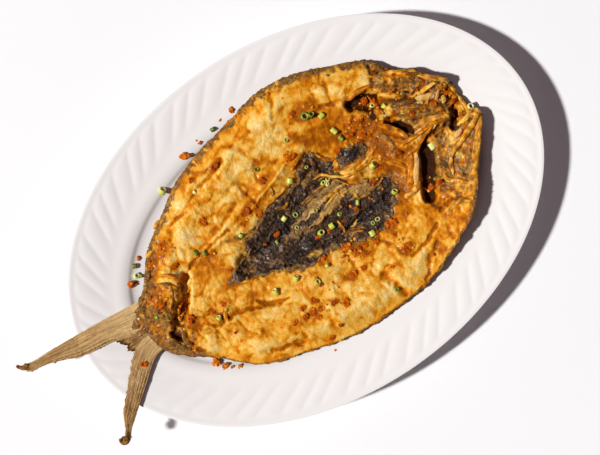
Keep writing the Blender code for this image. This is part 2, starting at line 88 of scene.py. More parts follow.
# Read inward from the outer edge: (inset, height).
PLATE_TOP = (
    (0.0000, PLATE_HEIGHT - 0.0008), (0.0002, PLATE_HEIGHT - 0.0001), (0.0008, PLATE_HEIGHT),
    (FLUTE_START, PLATE_HEIGHT - LIP_GROOVE), (0.0110, PLATE_HEIGHT - 0.0012),
    (0.0200, PLATE_HEIGHT - 0.0026), (FLUTE_END, PLATE_HEIGHT - 0.0040),
    (0.0385, PLATE_HEIGHT - 0.0056), (0.0410, PLATE_HEIGHT - 0.0066),
    (0.0440, PLATE_HEIGHT - 0.0087), (0.0458, PLATE_HEIGHT - 0.0094),
    (0.0520, PLATE_HEIGHT - 0.0107), (0.0620, PLATE_HEIGHT - 0.0128), (0.0720, FLOOR_HEIGHT),
)
PLATE_UNDER = (
    (0.0004, PLATE_HEIGHT - 0.0024), (0.0030, PLATE_HEIGHT - 0.0042),
    (0.0220, PLATE_HEIGHT - 0.0070), (0.0380, PLATE_HEIGHT - 0.0100), (0.0460, 0.0088),
    (0.0510, 0.0066), (0.0535, 0.0012), (0.0545, 0.0), (0.0590, 0.0), (0.0600, 0.0009),
    (0.0650, 0.0009), (0.0660, 0.0),
)

# -------------------------------------------------------------------------- fish
TOUCH_GAP = 0.0003
RIM_CLEARANCE = 0.0016
LEAST_CLEARANCE = 0.0006         # where the snout lies lowest
TAIL_END = -0.1345
HEAD_END = 0.1418
END_INSET = 0.0008               # where the outermost rows stand in from the ends
FAR_SIDE = (
    (TAIL_END, -0.004), (-0.1285, 0.0140), (-0.1181, 0.0226), (-0.1072, 0.0376),
    (-0.0840, 0.0555), (-0.0649, 0.0690), (-0.0387, 0.0793), (-0.0085, 0.0862),
    (0.0199, 0.0925), (0.0486, 0.0890), (0.0711, 0.0804), (0.0963, 0.0675),
    (0.1044, 0.0575), (0.1165, 0.0481), (0.1304, 0.0330), (0.1372, 0.0245),
    (HEAD_END, -0.0020),
)
NEAR_SIDE = (
    (TAIL_END, -0.004), (-0.1305, -0.0230), (-0.1171, -0.0366), (-0.1015, -0.0481),
    (-0.0832, -0.0650), (-0.0444, -0.0784), (-0.0095, -0.0856), (0.0197, -0.0850),
    (0.0532, -0.0803), (0.0868, -0.0646), (0.1006, -0.0564), (0.1098, -0.0461),
    (0.1234, -0.0258), (0.1346, -0.0121), (HEAD_END, -0.0020),
)
STATIONS = 360                # steps along the fish; both are even, as the underside has half
LANES = 216                   # steps across it
OUTLINE_STEPS = 200
FLESH_FRAY = 0.8              # how ragged the edges of marks are, on the flesh and on the lining
LINING_FRAY = 1.8
FLESH_TOAST = 0.34            # how toasted the flesh is where nothing marks it
HOLD_GAIN = 0.35              # what is left of toasting past its limit
EDGE_THICKNESS = 0.0035
LEAST_THICKNESS = 0.0021
EDGE_BAND = (
    (-.135, .0034), (-.1, .0042), (-.06, .004), (-.02, .0038), (.02, .0042), (.045, .0048), (.075, .0048),
    (.1, .0032), (.1418, .001),
)
EDGE_ROUND = 0.0022           # run over which the cut edge rounds off
FILLET_THICKNESS = (
    (-.1345, .004), (-.11, .0095), (-.085, .0115), (0, .013), (.08, .0105), (.142, .0065),
)
FILLET_RUN = 0.018
BOWL_FLAT = 0.25
BOWL_RISE = 0.0100
BOWL_REACH = (0.139, 0.088)
CLEARANCE_START = 0.6
# How high the edge curls up round the head: degrees from +X, curl.
CURL = (
    (-82, 0), (-66, .0012), (-54, .003), (-47, .006), (-41, .0092), (-35, .0114), (-29, .0126),
    (-24, .0134), (-20, .0134), (-16, .0122), (-12, .0108), (-8, .0088), (-4, .0062), (.2, .005), (1.6, 0),
    (3, -.001), (8.5, -.001), (10.3, 0), (12.5, .004), (18, .0048), (24, .0038), (36, .0024), (50, .0008),
    (65, 0),
)
CURL_START = 0.80
CURL_RUN = 0.20
LUMP_SIZE = 0.022
LUMP_HEIGHT = 0.0012
HEAD_START = 0.084            # where the crisp head and the tail stock begin
STOCK_START = -0.102
SNOUT = (0.139, 0.006)
# MM: x, y, their reaches along X and Y, shift along X.
NOTCHES = ((139, 20.5, 16, 4.5, -3.4), (142, 11, 16, 9, -4.4))
UNDERSIDE = {"toast": 0.5, "skin": 1.0, "char_and_shade": 0.1, "bone": 0.0}

# MM: height, softness, then a path of (x, y, half width). These are the solid's own forms.
FORMS = (
    (-8, .62, ((-46, -5, 9), (-34, -3, 14), (0, -2, 24), (34, 1, 34), (56, 1, 27))),
    (3, .5, ((-10, -4, 4), (18, -1, 10), (40, 2, 7), (72, 6, 8))),
    (2.5, .6, ((14, 21, 2), (30, 17, 3), (47, 8, 3))),
    (1.6, .7, ((-68, 18, 3), (-28, 30, 4), (22, 43, 4))),
    (-1.5, .6, ((-82, 44, 3), (-55, 57, 4), (-28, 66, 3))),
    (-1.7, .6, ((-84, -26, 3), (-64, -29, 3), (-46, -38, 2))),
    (-1.3, .6, ((-70, -62, 3), (-48, -69, 3))),
    (-1.5, .6, ((26, -62, 3), (31, -78, 3))),
    (5.2, .55, ((-113, 4, 10), (-104, 12, 10))),
    (1.8, .6, ((-126, -12, 9), (-120, 2, 9))),
    (2.5, .6, ((-118, -26, 9), (-104, -34, 8))),
    (-4.5, .6, ((-91, 12, 3), (-99, -2, 3), (-112, -13, 4))),
    (-5, .6, ((-118, -17, 3), (-113, -22, 3))),
    (-8.5, .4, ((81, -32, 4.4), (88.5, -18, 5.8), (96.5, -4, 4.8))),
    (-6.5, .52, ((85, 27, 3), (92, 16, 3))),
    (-7, .58, ((69, 50, 4), (80, 46, 6), (88, 40, 4))),
    (-5, .55, ((128, 10, 3), (121, -1, 3))),
    (3, .6, ((76, 18, 3), (86, 7, 3), (122, 8, 3))),
    (3.5, .6, ((96, 52, 5), (118, 40, 6), (130, 29, 4))),
    (1.5, .6, ((98, -40, 6), (116, -26, 7), (137, -4, 4))),
    (-1.2, .6, ((136, 24, 3), (137, 14, 4), (138, 7, 3))),
    (3, .6, ((100, 28, 6), (120, 20, 5))),
)

# MM: height, browning, softness, path. Finer creases and ridges; the creases are painted browner and the
# ridges paler, browning together with painted shade and highlight.
CREASES = (
    # near fillet
    (-1.6, .4, .9, ((-82, -24, 1), (-80, -28, 1.5), (-74, -28, 1.6), (-66, -30, 1.3), (-58, -34, 1))),
    (-1.8, .45, .9, ((-58, -29, .8), (-54, -34, 1.3), (-49, -37, 1.2), (-38, -39, .8))),
    (-.5, .2, 1, ((-66, -32, 2.5), (-50, -40, 3.5), (-38, -46, 2))),
    (-1.6, .42, .8, ((-68, -63, 1.2), (-60, -66, 1.6), (-52, -67, 1.2), (-49, -71, .8))),
    (-.8, .22, 1, ((-52, -70, 2), (-45, -70, 2), (-43, -66, 1.5))),
    (-1, .22, 1, ((22, -49, 1.2), (24, -58, 1.6), (25, -68, 1.4))),
    (-1.2, .25, 1, ((26, -60, 1), (29, -72, 1.4), (31, -79, 1.4))),
    (-1.8, .5, .8, ((49, -60, 1), (56, -59, 1.2), (63, -57, 1.3), (69, -53, 1.2), (75, -50, 1))),
    (-1.4, .4, .9, ((68, -61, 1), (62, -65, 1.4), (57, -68, 1.6), (54, -74, 1.3), (48, -79, 1))),
    (-2, .6, .5, ((62, -67, .7), (63, -67.5, .6))),
    (-.8, .22, 1, ((-8, -52, 1.5), (-5, -60, 1.5))),
    (-.7, .2, 1, ((-5, -49, 1.2), (8, -49, 2.4), (18, -49, 2))),
    (-.9, .3, 1, ((37, -36, 1), (39, -44, 1.3), (42, -49, 1.2), (45, -54, 2))),
    (-.6, .18, 1, ((50, -47, 1), (56, -43, 1.2), (66, -40, 1))),
    (-.8, .2, 1, ((11, -42, 1), (12, -50, 1.3))),
    (-.8, .2, 1, ((4, -70, 1.2), (6, -79, 1.5))),
    (-.6, .15, 1, ((-43, -60, 1.2), (-42, -72, 1.4))),
    (-.9, .25, .8, ((-94, -18, 1.2), (-87, -17, 1.2))),
    (-.8, .3, .8, ((-89, -18, 1), (-87, -25, 1))),
    (-.7, .15, 1, ((-104, -23, .8), (-102, -33, .9))),
    (-.7, .15, 1, ((-92, -26, .8), (-91, -40, .9))),
    (-.7, .15, 1, ((-76, -32, .8), (-74, -44, 1))),
    (.7, -.08, 1, ((-97, -26, 2.5), (-96, -36, 2.5))),
    (.7, -.08, 1, ((-84, -31, 2.5), (-82, -41, 2.5))),
    (.9, -.1, 1, ((-60, -38, 4), (-45, -44, 5), (-30, -42, 4))),
    (.9, -.12, 1, ((-42, -28, 4), (-25, -38, 5), (-5, -42, 4))),
    (.8, -.08, 1, ((48, -62, 3), (60, -61, 3), (66, -60, 2))),
    (.8, -.08, 1, ((30, -70, 4), (46, -70, 4))),
    # far fillet
    (-1.3, .35, .9, ((-80, 47, .9), (-70, 49, 1.1), (-62, 53, 1.1), (-54, 57, 1))),
    (-1.8, .48, .8, ((-53, 58, 1), (-48, 59, 1.5), (-40, 61, 1.3), (-30, 64, 1.3), (-26, 67, .8))),
    (-.9, .32, .8, ((-15, 70, 1.5), (-13, 66, 2.5), (-11, 62, 1.5))),
    (-.5, .25, .8, ((-9, 65, 2.5), (-5, 61, 2.5))),
    (-.6, .16, .9, ((-50, 41, 1.2), (-38, 44, 1.5), (-30, 46, 1.2))),
    (-.8, .22, .9, ((-50, 28, 1), (-44, 31, 1.3), (-36, 36, 1.3))),
    (1, -.12, .9, ((-52, 34, 3), (-40, 39, 3.5), (-28, 42, 3))),
    (1, -.1, .9, ((-80, 33, 6), (-68, 43, 6), (-50, 49, 5))),
    (.9, -.1, 1, ((-35, 55, 5), (-12, 58, 4), (5, 66, 5), (20, 76, 4))),
    (-1.6, .42, .8, ((-87, 14, 1), (-82, 17, 1.4), (-74, 19, 1), (-62, 21, .9), (-48, 23, .9))),
    (-1, .3, .9, ((-48, 23, 1.2), (-38, 26, 1.2), (-30, 27, 2))),
    (1.2, -.05, .8, ((-30, 26, .7), (-18, 30, .8), (-6, 34, .8), (4, 38, .8), (13, 42, .6))),
    (-.9, .3, .8, ((-26, 44, .9), (-25, 36, 1), (-22, 28, 1))),
    (-.5, .14, .9, ((-12, 48, 1), (-13, 38, 1.2))),
    (-.8, .22, .9, ((18, 70, 1), (24, 80, 1.2), (26, 86, 1))),
    (-.8, .22, .9, ((32, 84, 1.2), (36, 89, 1))),
    (-1.4, .45, .8, ((50, 61, 1), (57, 58, 1.3), (64, 56, 1.4), (71, 52, 1.6))),
    (-.9, .3, .8, ((51, 70, 1.2), (55, 66, 1.4))),
    (-.9, .3, .8, ((61, 73, 1.2), (60, 67, 1.2))),
    (1.6, -.12, .8, ((56, 68, 3), (66, 66, 5), (76, 61, 5), (84, 57, 4))),
    (1, -.05, .8, ((86, 63, 4), (95, 60, 4))),
    # dark bands of the tail stock
    (-1.6, .55, .8, ((-95, 12, 1.2), (-97, 6, 1.8), (-102, 1, 2.2), (-108, -6, 2), (-113, -10, 1.4))),
    (-.8, .35, .9, ((-108, -15, 3), (-102, -19, 3), (-98, -18, 2))),
    (-1.4, .5, .7, ((-112, -26, 1), (-110, -33, 1.3), (-107, -38, 1))),
    # crisp head
    (-1.2, .4, .8, ((83, 53, 1), (90, 51, 1.4), (96, 48, 1.2), (99, 45, .8))),
    (-1.6, .5, .8, ((82, -44, 1.2), (90, -42.5, 1.2), (97, -43, 1.2), (100, -46, 1))),
    (-1.2, .42, .8, ((77, -36, 4), (81, -40, 4), (83, -45, 2))),
    (-1, .3, .8, ((90, -32, 1.2), (95, -36, 1.2))),
    (1, -.06, .8, ((85, -48, 3), (95, -48, 3), (102, -43, 3))),
    (-.8, .25, .8, ((110, -29, 1), (107, -37, 1))),
    (-.8, .25, .8, ((80, -55, 1.2), (79, -64, 1.4))),
)

# MM: browning, softness, path.
ZONES = (
    # toasted zones
    (.25, .8, ((66, -63, 3), (70, -68, 2.5))),
    (.22, .9, ((-46, 66, 3), (-36, 67, 4), (-22, 71, 3), (0, 72, 2))),
    (.15, 1, ((26, 47, 6), (42, 47, 9), (60, 45, 11))),
    (.14, 1, ((38, 34, 5), (46, 34, 6))),
    (.26, .9, ((60, 36, 6), (68, 28, 7), (70, 14, 6))),
    (.2, 1, ((66, 0, 7), (76, 8, 8), (82, 20, 7))),
    (.14, 1, ((62, -30, 8), (72, -24, 7), (80, -50, 10))),
    (.28, 1, ((66, -16, 6), (72, -6, 8), (74, 8, 7), (80, 20, 6))),
    (.17, .9, ((92, 42, 7), (102, 33, 9), (114, 28, 8))),
    (.1, .9, ((76, 34, 5), (70, 20, 5), (70, 4, 5), (68, -12, 5))),
    (.1, 1, ((28, 50, 8), (44, 46, 9), (60, 48, 9))),
    (.16, 1, ((-58, -24, 6), (-46, -32, 8), (-36, -26, 6))),
    (.22, .9, ((26, 64, 4), (36, 66, 6), (46, 66, 4))),
    (.14, 1, ((-106, 31, 4), (-98, 34, 4), (-90, 37, 5))),
    (.14, 1, ((-96, -18, 4), (-90, -26, 6), (-82, -32, 5))),
    (.16, 1, ((-88, 4, 5), (-76, 8, 6), (-68, 16, 4))),
    (.2, .9, ((12, -30, 3), (20, -36, 4), (26, -42, 3))),
    (.12, 1, ((-108, 6, 9), (-103, 14, 8))),
    (.2, .9, ((-40, 26, 3), (-30, 28, 4), (-20, 26, 3))),
    (.34, .8, ((80, -37, 3), (86, -35, 4), (92, -31, 3))),
    (.34, .8, ((56, -27, 3), (62, -23, 4), (66, -17, 4))),
    (.3, .8, ((70, 36, 4), (76, 32, 4), (80, 26, 3))),
    (.22, 1, ((0, 39, 3), (8, 41, 3))),
    (.22, 1, ((40, 9, 3), (50, 8, 3))),
    (.26, 1, ((-26, 31, 3), (-18, 32, 3.5), (-8, 33, 3))),
    (.22, 1, ((-78, -9, 3), (-74, -10, 4), (-66, -10, 3), (-62, -2, 3), (-66, 6, 4))),
    (.26, .9, ((46, -36, 3), (54, -33, 4), (62, -33, 3))),
    (.2, 1, ((8, -38, 3), (16, -41, 3))),
    (.14, 1, ((90, 6, 4), (94, 12, 3))),
    (.16, 1, ((74, 66, 4), (82, 65, 4))),
    (.2, 1, ((72, 58, 3), (80, 56, 3))),
    (.2, 1, ((64, 42, 4), (70, 38, 4))),
    (.16, 1, ((-43, 57, 3), (-38, 57, 3))),
    (.16, 1, ((38, 80, 4), (50, 79, 4))),
    (.18, 1, ((-88, 16, 3), (-80, 16, 4))),
    (.14, 1, ((-80, -17, 3), (-72, -17, 3))),
    (.2, .9, ((98, 0, 3), (99, -10, 4), (98, -20, 4))),
    (.2, .9, ((75, 34, 3), (77, 30, 3))),
    (.16, 1, ((41, 8, 3), (47, 8, 3))),
    (.16, 1, ((81, -48, 3), (87, -48, 3))),
    (.22, .9, ((17, -33, 3), (23, -33, 3))),
    (.1, 1, ((-24, -40, 3), (-16, -40, 3))),
    # paler places, with one browner among them
    (-.2, .9, ((138, -3, 3), (141, 2, 3))),
    (-.14, .9, ((132, 26, 3), (133, 16, 3))),
    (-.12, 1, ((-27, 56, 3), (-22, 56, 3))),
    (.1, 1, ((-40, 55, 3), (-34, 56, 3))),
    (-.16, 1, ((-95, 17, 3), (-89, 17, 3))),
    (-.12, 1, ((-88, -8, 4), (-83, -8, 4))),
    (-.12, 1, ((1, -40, 3), (8, -40, 3))),
    (-.14, 1, ((2, -63, 6), (14, -68, 7), (18, -74, 5))),
    (-.08, 1, ((72, -57, 4), (84, -54, 5), (96, -50, 5))),
    (-.14, 1, ((-96, 22, 4), (-88, 26, 4))),
    (-.12, 1, ((-82, 31, 5), (-70, 33, 5))),
    (-.12, 1, ((-32, 40, 5), (-24, 41, 4))),
    (-.14, 1, ((-118, -8, 4), (-112, -7, 3))),
    (-.16, .8, ((117, -8, 3), (122, -8, 3))),
    (-.05, .9, ((136, -8, 3), (126, -20, 4), (116, -34, 4), (106, -45, 5))),
)

# MM: x, y, radius, browning. Small toasted blisters and stuck crust.
TOASTED = (
    (-25, -50, 2.6, .5), (-34, -50, 2.2, .38), (-30, -56, 2.6, .5), (-24, -56, 2.2, .45),
    (-36, -56, 2.6, .46), (-44, -55, 1.9, .42), (-28, -61, 2, .45), (-13, -58, 2.8, .5),
    (-7, -62, 2.8, .46), (-1, -59, 1, .42), (7, -49, 3, .5), (16, -49, 2.6, .34), (33, -59, 1.1, .46),
    (-17, -73, 2, .42), (-28, -78, 2.2, .4), (-4, -77, 1.2, .4), (60, -34, 2, .4), (47, -41, 1.8, .4),
    (33, -39, 2.2, .44), (48, -33, 4.2, .55), (19, -38, 3.6, .5), (-16, -38, 1.8, .35), (-15, -43, 1.7, .4),
    (-5, -29, 3.4, .5), (15, -31, 3, .5), (23, -42, 1.8, .32), (48, -54, 4.2, .5), (-79, -18, 1.8, .45),
    (-75, -19, 1.6, .38), (-62, -23, 1.1, .38), (-82, -39, .9, .45), (-82, -46, 1.2, .4),
    (-60, -43, 1.1, .38), (-69, -51, 1.8, .3), (-56, -46, 1, .3), (-88, -51, 1.6, .3), (-17, -66, 1.2, .32),
    (-23, -66, 2.6, .2), (5, -63, 1.3, .28), (-66, -47, 1.6, .3), (59, -45, 1.5, .28), (-48, -61, 1.4, .55),
    (-60, 37, 3.2, .46), (-51, 65, 2.2, .45), (-34, 64, 3, .5), (-29, 66, 3, .48), (-76, 42, 1.2, .28),
    (-91, 38, 4.2, .5), (-93, 21, 3, .4), (-106, 30, 3.2, .28), (-96, 33, 2.4, .34), (-55, 28, 3, .25),
    (-48, 50, 3, .2), (-29, 48, 1.6, .32), (-25, 38, 2, .42), (-30, 27, 3.6, .5), (-24, 21, 3, .5),
    (-37, 20, 3, .42), (-10, 39, 3.6, .44), (15, 42, 3.8, .5), (23, 54, 3, .42), (16, 61, 1.5, .34),
    (4, 47, 2, .26), (-8, 52, 2.4, .3), (31, 66, 3, .36), (40, 68, 2.6, .34), (44, 58, 2.6, .4),
    (54, 83, 3, .32), (-66, 14, 3, .36), (-70, 19, 2, .36), (-62, 0, 1.8, .36), (45, 29, 3, .38),
    (57, 34, 3, .42), (66, 35, 3.4, .42), (66, 27, 3, .4), (78, 48, 3.2, .5), (97, 43, 2.4, .45),
    (90, 28, 2.4, .55), (100, 21, 2.2, .45), (112, 35, 2, .45), (117, 37, 1.8, .4), (117, 20, 2, .45),
    (86, -27, 3, .45), (91, -28, 2.6, .42), (-115, 5, 4.2, .46), (-118, 12, 2.8, .4), (-105, -7, 4, .42),
    (-103, -15, 3.4, .36), (64, 3, 2.6, .36), (78, 5, 2.8, .36), (71, 60, 3, .14), (126, 22, 2, .3),
    (129, 14, 2, .35), (75, 20, 2.4, .3), (88, -57, 3, .22), (72, -47, 3, .28),
)

# MM: strength, softness, path. Where rough crust covers the flesh.
CRUSTY = (
    (.9, .9, ((58, 40, 7), (68, 30, 9), (75, 14, 9), (74, -2, 8), (70, -14, 6))),
    (.7, .9, ((84, -40, 4), (92, -36, 6), (100, -44, 6))),
    (.7, .9, ((-98, -20, 5), (-90, -28, 6), (-80, -33, 4))),
    (.7, .9, ((-104, 26, 5), (-96, 34, 6), (-86, 40, 4))),
    (.6, .9, ((14, -32, 4), (24, -38, 6), (38, -38, 4))),
)

# MM: strength, softness, path. Where golden crust hides the head's skin.
BARE = (
    (.9, .7, ((138, -6, 2.4), (128, -19, 3), (118, -33, 3.4), (108, -44, 4), (98, -50, 5), (86, -54, 6))),
    (.8, .7, ((104, 52, 2.4), (118, 43, 2.4))),
    (.8, .7, ((116, -7, 3), (122, -8, 3))),
    (.7, .7, ((80, -42, 5), (88, -46, 5))),
    (.8, .7, ((132, 26, 2.4), (133, 16, 3), (139, 1, 3))),
    (.6, .8, ((-120, 4, 3), (-112, 8, 4), (-105, 15, 4))),
)

# MM: strength, softness, path. Where the grey-olive skin shows.
SKIN = (
    (.55, .6, ((-121, 12, 3), (-116, 24, 4.5), (-108, 34, 3.5), (-100, 42, 3), (-88, 53, 2.6), (-70, 65,
     2.2))),
    (.7, .6, ((34, 89, 3), (50, 87, 4), (66, 82, 4.6), (80, 76, 5), (92, 70, 4.4), (102, 62, 3))),
    (.6, .5, ((-116, -38, 2.4), (-104, -47.5, 1.6), (-84, -65, 1.2), (-50, -77.5, 1.2), (-20, -84.5, 1.2))),
    (.6, .5, ((-10, -87, 1.2), (20, -85.5, 1.4), (50, -82, 1.3), (80, -70.5, 1.2), (98, -60, 1.6))),
    (1, .5, ((99, -58, 3), (105, -52, 3.5), (111, -45, 3))),
    (.6, .8, ((96, 36, 7), (104, 28, 6), (110, 42, 6), (117, 44, 4))),
    (.4, .9, ((102, -6, 4), (110, -12, 6), (118, -20, 7))),
    (.5, .8, ((-36, 46, 2), (-22, 50, 2), (-9, 52, 2))),
    (.8, .7, ((-53, 17, 2), (-48, 16, 3), (-44, 14, 2))),
    (.5, .8, ((68, 20, 3), (73, 17, 3))),
    (.8, .7, ((-133, -2, 4), (-128, 2, 5), (-122, 6, 3))),
    (.7, .8, ((-119, -33, 4), (-113, -38, 3), (-107, -44, 2))),
    (.5, .9, ((66, -6, 5), (70, -14, 5))),
    (.62, .9, ((94, 48, 6), (102, 36, 11), (116, 30, 10))),
    (.85, .7, ((131, -13, 2.6), (122, -22, 4), (114, -30, 3.6))),
    (.8, .8, ((99, 1, 3), (100, -8, 4), (100, -18, 4), (103, -26, 3))),
    (.9, .6, ((-134, -4, 3), (-133, -14, 3), (-130, -22, 3), (-124, -30, 3))),
)

# MM: strength, softness, path. Charred places, and sunken places painted dark: their own dark colour together
# with painted shade.
CHAR_AND_SHADE = (
    (.95, .6, ((67, 51, 2.2), (74, 51, 3.8), (82, 48, 3.2), (86, 46, 1.8))),
    (.7, .7, ((72, 46, 3), (78, 40, 4), (77, 34, 3))),
    (.9, .5, ((84, 26, 1.4), (90, 21, 2.8), (94, 14, 2.6), (95, 11, 1.4))),
    (1, .35, ((81, -34, 3), (84.5, -26, 4.3), (89.5, -18, 4.7), (94, -11, 4.6), (96.5, -4, 3.6), (97.5, 1,
     2))),
    (.7, .5, ((97, 2, 1.2), (104, 4.6, 1.2), (112, 6, .8))),
    (.6, .6, ((79, -34, 2.4), (80, -39, 2), (83, -44, 1.2))),
    (.7, .6, ((129, 9, 1.3), (125, 4, 2), (121, 0, 1.4))),
    (.75, .6, ((-119, -16, 2), (-117, -21, 2.6), (-113, -26, 1.6))),
    (.6, .7, ((-134, 5, 2.5), (-128, 8, 2.5), (-124, 12, 2))),
    (.6, .8, ((94, 38, 3), (99, 35, 4), (104, 30, 3))),
    (.45, .9, ((88, 30, 3), (96, 25, 4), (108, 24, 2))),
    (.35, .6, ((83, 53, .8), (91, 51, 1.2), (97, 47, .9))),
    (.6, .5, ((103, 52, .7), (104.5, 51, .8))),
    (.6, .5, ((106.5, 51, .6), (107.5, 50, .6))),
    (.5, .6, ((114, 46, 3), (119, 41, 2))),
    (.6, .5, ((62, -67, .9), (63, -67.5, .8))),
    (.7, .5, ((42, 58, 1.6), (46, 57, 1.8))),
)

# MM: strength, softness, path. Pale bone and thin tissue.
BONE = (
    (.8, .6, ((82, -16, 1), (86, -11, 1.6), (90, -5, 1.2))),
    (.7, .6, ((108, 28, 2), (116, 27, 3), (122, 24, 2))),
    (.7, .6, ((119, -6, 2), (122, -5, 2.5))),
    (.5, .7, ((115, -8, 1.5), (119, -9, 2))),
    (.35, .8, ((76, 10, 3), (78, 16, 3))),
    (.35, .8, ((58, 20, 2), (66, 22, 2.4))),
    (.3, .9, ((-6, -33, 2), (10, -36, 2), (0, -40, 3))),
    (.3, .9, ((-120, 2, 3), (-124, -4, 3))),
    (.4, .8, ((74, -10, 2), (77, -13, 2.4))),
)

# ------------------------------------------------------------------- belly lining
# MM: outlines of the dark lining, and its folds: height, softness, path.
LININGS = (
    ((-68, -9), (-62, -4), (-55, 0), (-48, 3), (-43, 8), (-38, 13), (-30, 16), (-22, 20), (-12, 23), (0,
     24), (10, 27), (14, 33), (21, 37), (26, 39), (30, 35), (34, 29), (38, 24), (34, 19), (40, 5), (56,
     -1), (66, -3), (66, -14), (62, -21), (54, -27), (49, -32), (38, -35.5), (28, -34), (20, -32), (14,
     -29.5), (6, -28), (-2, -28), (-10, -29.5), (-22, -28), (-28, -24), (-33, -20), (-43, -18), (-50, -14),
     (-60, -13)),
    ((40, 17), (41, 24), (46, 28), (58, 27.5), (62, 24), (64, 18), (58, 15.5), (48, 15.5)),
)
# MM: height, softness, tone (0 grey to 1 golden), path. Thin skins folded over the lining.
MEMBRANES = (
    (1.2, .6, .38, ((-10, 1, 1), (0, 3.6, 1.6), (12, 6.8, 2.8), (22, 9.4, 3.8), (31, 10.6, 2.8))),
    (1.1, .5, .9, ((0, .4, .9), (6, 1.8, 1.2), (16, 4.2, 1.4), (25, 6.2, 1.7), (34, 7.2, 1.3))),
    (1.7, .55, .62, ((0, -5.6, .9), (8, -4.6, 1.9), (17, -2.4, 3.2), (25, 0, 3.4), (33, 2.6, 2.2))),
    (.8, .7, .55, ((36, 1, 2), (44, .6, 3), (52, 0, 3), (60, 1, 2))),
    (1.3, .6, .42, ((34, -4.5, 1.4), (42, -5, 3), (50, -4.4, 2.8), (59, -2.8, 1.6))),
    (.9, .7, .6, ((-14, -21, 1), (-8, -22.3, 2), (-3, -24.6, 1.3))),
    (.8, .8, .45, ((-56, -1, 1.2), (-51, .5, 2), (-46, 3.5, 1.2))),
)
# The same over the flesh between the lining's two parts.
SHEETS = (
    (1.2, .6, .42, ((36, 8, 3), (46, 6.4, 4.6), (56, 6.6, 4.6), (66, 9, 3.4))),
    (.9, .6, .3, ((40, 13, 1.8), (50, 12.6, 2.2), (60, 13.8, 2.2), (68, 17, 1.6))),
    (.8, .7, .5, ((66, -4, 3), (72, -10, 3.4), (75, -16, 2.4))),
)
MEMBRANE_LEAN = 0.24           # radians; how they lie to the fish's length
LINING_STEP = 0.00036
LINING_LIFT = 0.0005
LINING_DIVE = 0.0016
LINING_SOFT = 0.0018
LINING_SINK = 0.0022           # how far the flesh lies below the lining
LINING_FOLDS = (
    (1.3, .9, ((-60, -8, 2.5), (-46, -10, 4), (-30, -8, 4), (-14, -8, 3))),
    (1.4, .9, ((-44, 5, 3), (-34, 11, 4), (-20, 15, 4), (-4, 18, 4))),
    (-1.6, .8, ((-40, -1, 1.4), (-26, 1, 2), (-12, 3, 2.5), (-2, 3, 2.2))),
    (-1.4, .7, ((-30, -19.5, .9), (-14, -19.5, 1), (2, -20.8, 1.1), (18, -21.2, 1.1), (34, -20, 1))),
    (1.3, .8, ((-8, -14, 3), (8, -17.5, 1.8), (18, -18.3, 1.2))),
    (1.2, .8, ((-24, -24, 2.5), (-10, -26, 2), (6, -23, 2), (14, -23, 1.6))),
    (1.5, .8, ((12, 27, 3), (20, 32, 3.5), (26, 33, 3))),
    (-1.2, .8, ((26, 26, 1), (30, 22, 1.6), (36, 20, 2))),
    (1.2, .8, ((8, 20, 2.5), (16, 22, 2.5), (24, 26, 2.5))),
    (1.5, .8, ((24, -15, 3), (36, -13, 3), (50, -11, 3.5), (60, -9, 2))),
    (-1.6, .8, ((22, -22, 1.2), (36, -18, 2.5), (50, -20, 2.5), (58, -16, 2))),
    (1.2, .8, ((26, -27, 2), (36, -29, 2.5), (46, -27, 2.5))),
    (-1, .8, ((-2, 10, 1), (8, 13, 1.2), (18, 15, 1.2))),
)
# MM: strength, softness, path. Where the lining is tan or where its black is deepest.
LINING_TAN = (
    (.9, .9, ((13, 22, 2), (20, 24, 3.4), (27, 25, 2))),
    (.8, .9, ((-52, -3, 1.5), (-47, -1, 3), (-44, -5, 2))),
    (.6, .9, ((-56, -8, 2.4), (-49, -8, 3))),
    (.7, .9, ((-47, -13, 1.5), (-44, -17, 1.5))),
    (.65, .9, ((-37, -13, 2), (-30, -15, 3))),
    (.75, .9, ((-20, -3, 2), (-10, -4, 4), (-3, -7, 3))),
    (.8, .8, ((-14, 18, 1), (-8, 15, 2.5), (-2, 17, 1))),
    (.9, .8, ((-12, -21, 1), (-8, -22.5, 2), (-3, -24, 1.4))),
    (.7, .8, ((-24, -22, 2), (-18, -26, 2))),
    (.6, .9, ((2, -24, 2), (8, -27, 1.6))),
    (.85, .8, ((18, -23.5, 1), (26, -23.5, 1.6), (31, -25.5, 1))),
    (.6, .9, ((38, 21, 3), (36, 15, 2))),
    (.7, .8, ((60, 25, 2), (62, 20, 2.4))),
    (.7, .8, ((48, -26, 1), (50, -28, 1.4))),
    (.8, .8, ((16, -13, .8), (18.5, -19, 1.2), (16, -21, 1))),
    (.6, .9, ((33, -14, 1.5), (35, -16, 1.5))),
    (.5, 1, ((-33, 17, 1.5), (-24, 19, 1.5), (-16, 22, 1.5))),
    (.5, 1, ((40, 1, 3), (56, -1, 3))),
)
LINING_DEEP = (
    (1, .9, ((-40, -1, 2), (-28, 1, 3), (-14, 4, 4), (-2, 4, 2.5))),
    (.9, .9, ((-24, -16, 3), (-8, -15, 3.5), (4, -16, 3))),
    (.9, .8, ((22, -20, 2.5), (40, -20, 3.5), (54, -17, 4))),
    (.8, .8, ((30, -8, 3), (40, -8, 3), (50, -7, 2))),
    (.8, .8, ((26, 20, 2), (34, 24, 2))),
    (.8, .8, ((50, 22, 4), (56, 21, 3))),
    (.8, .8, ((34, -30, 2.5), (43, -31, 2.5))),
)
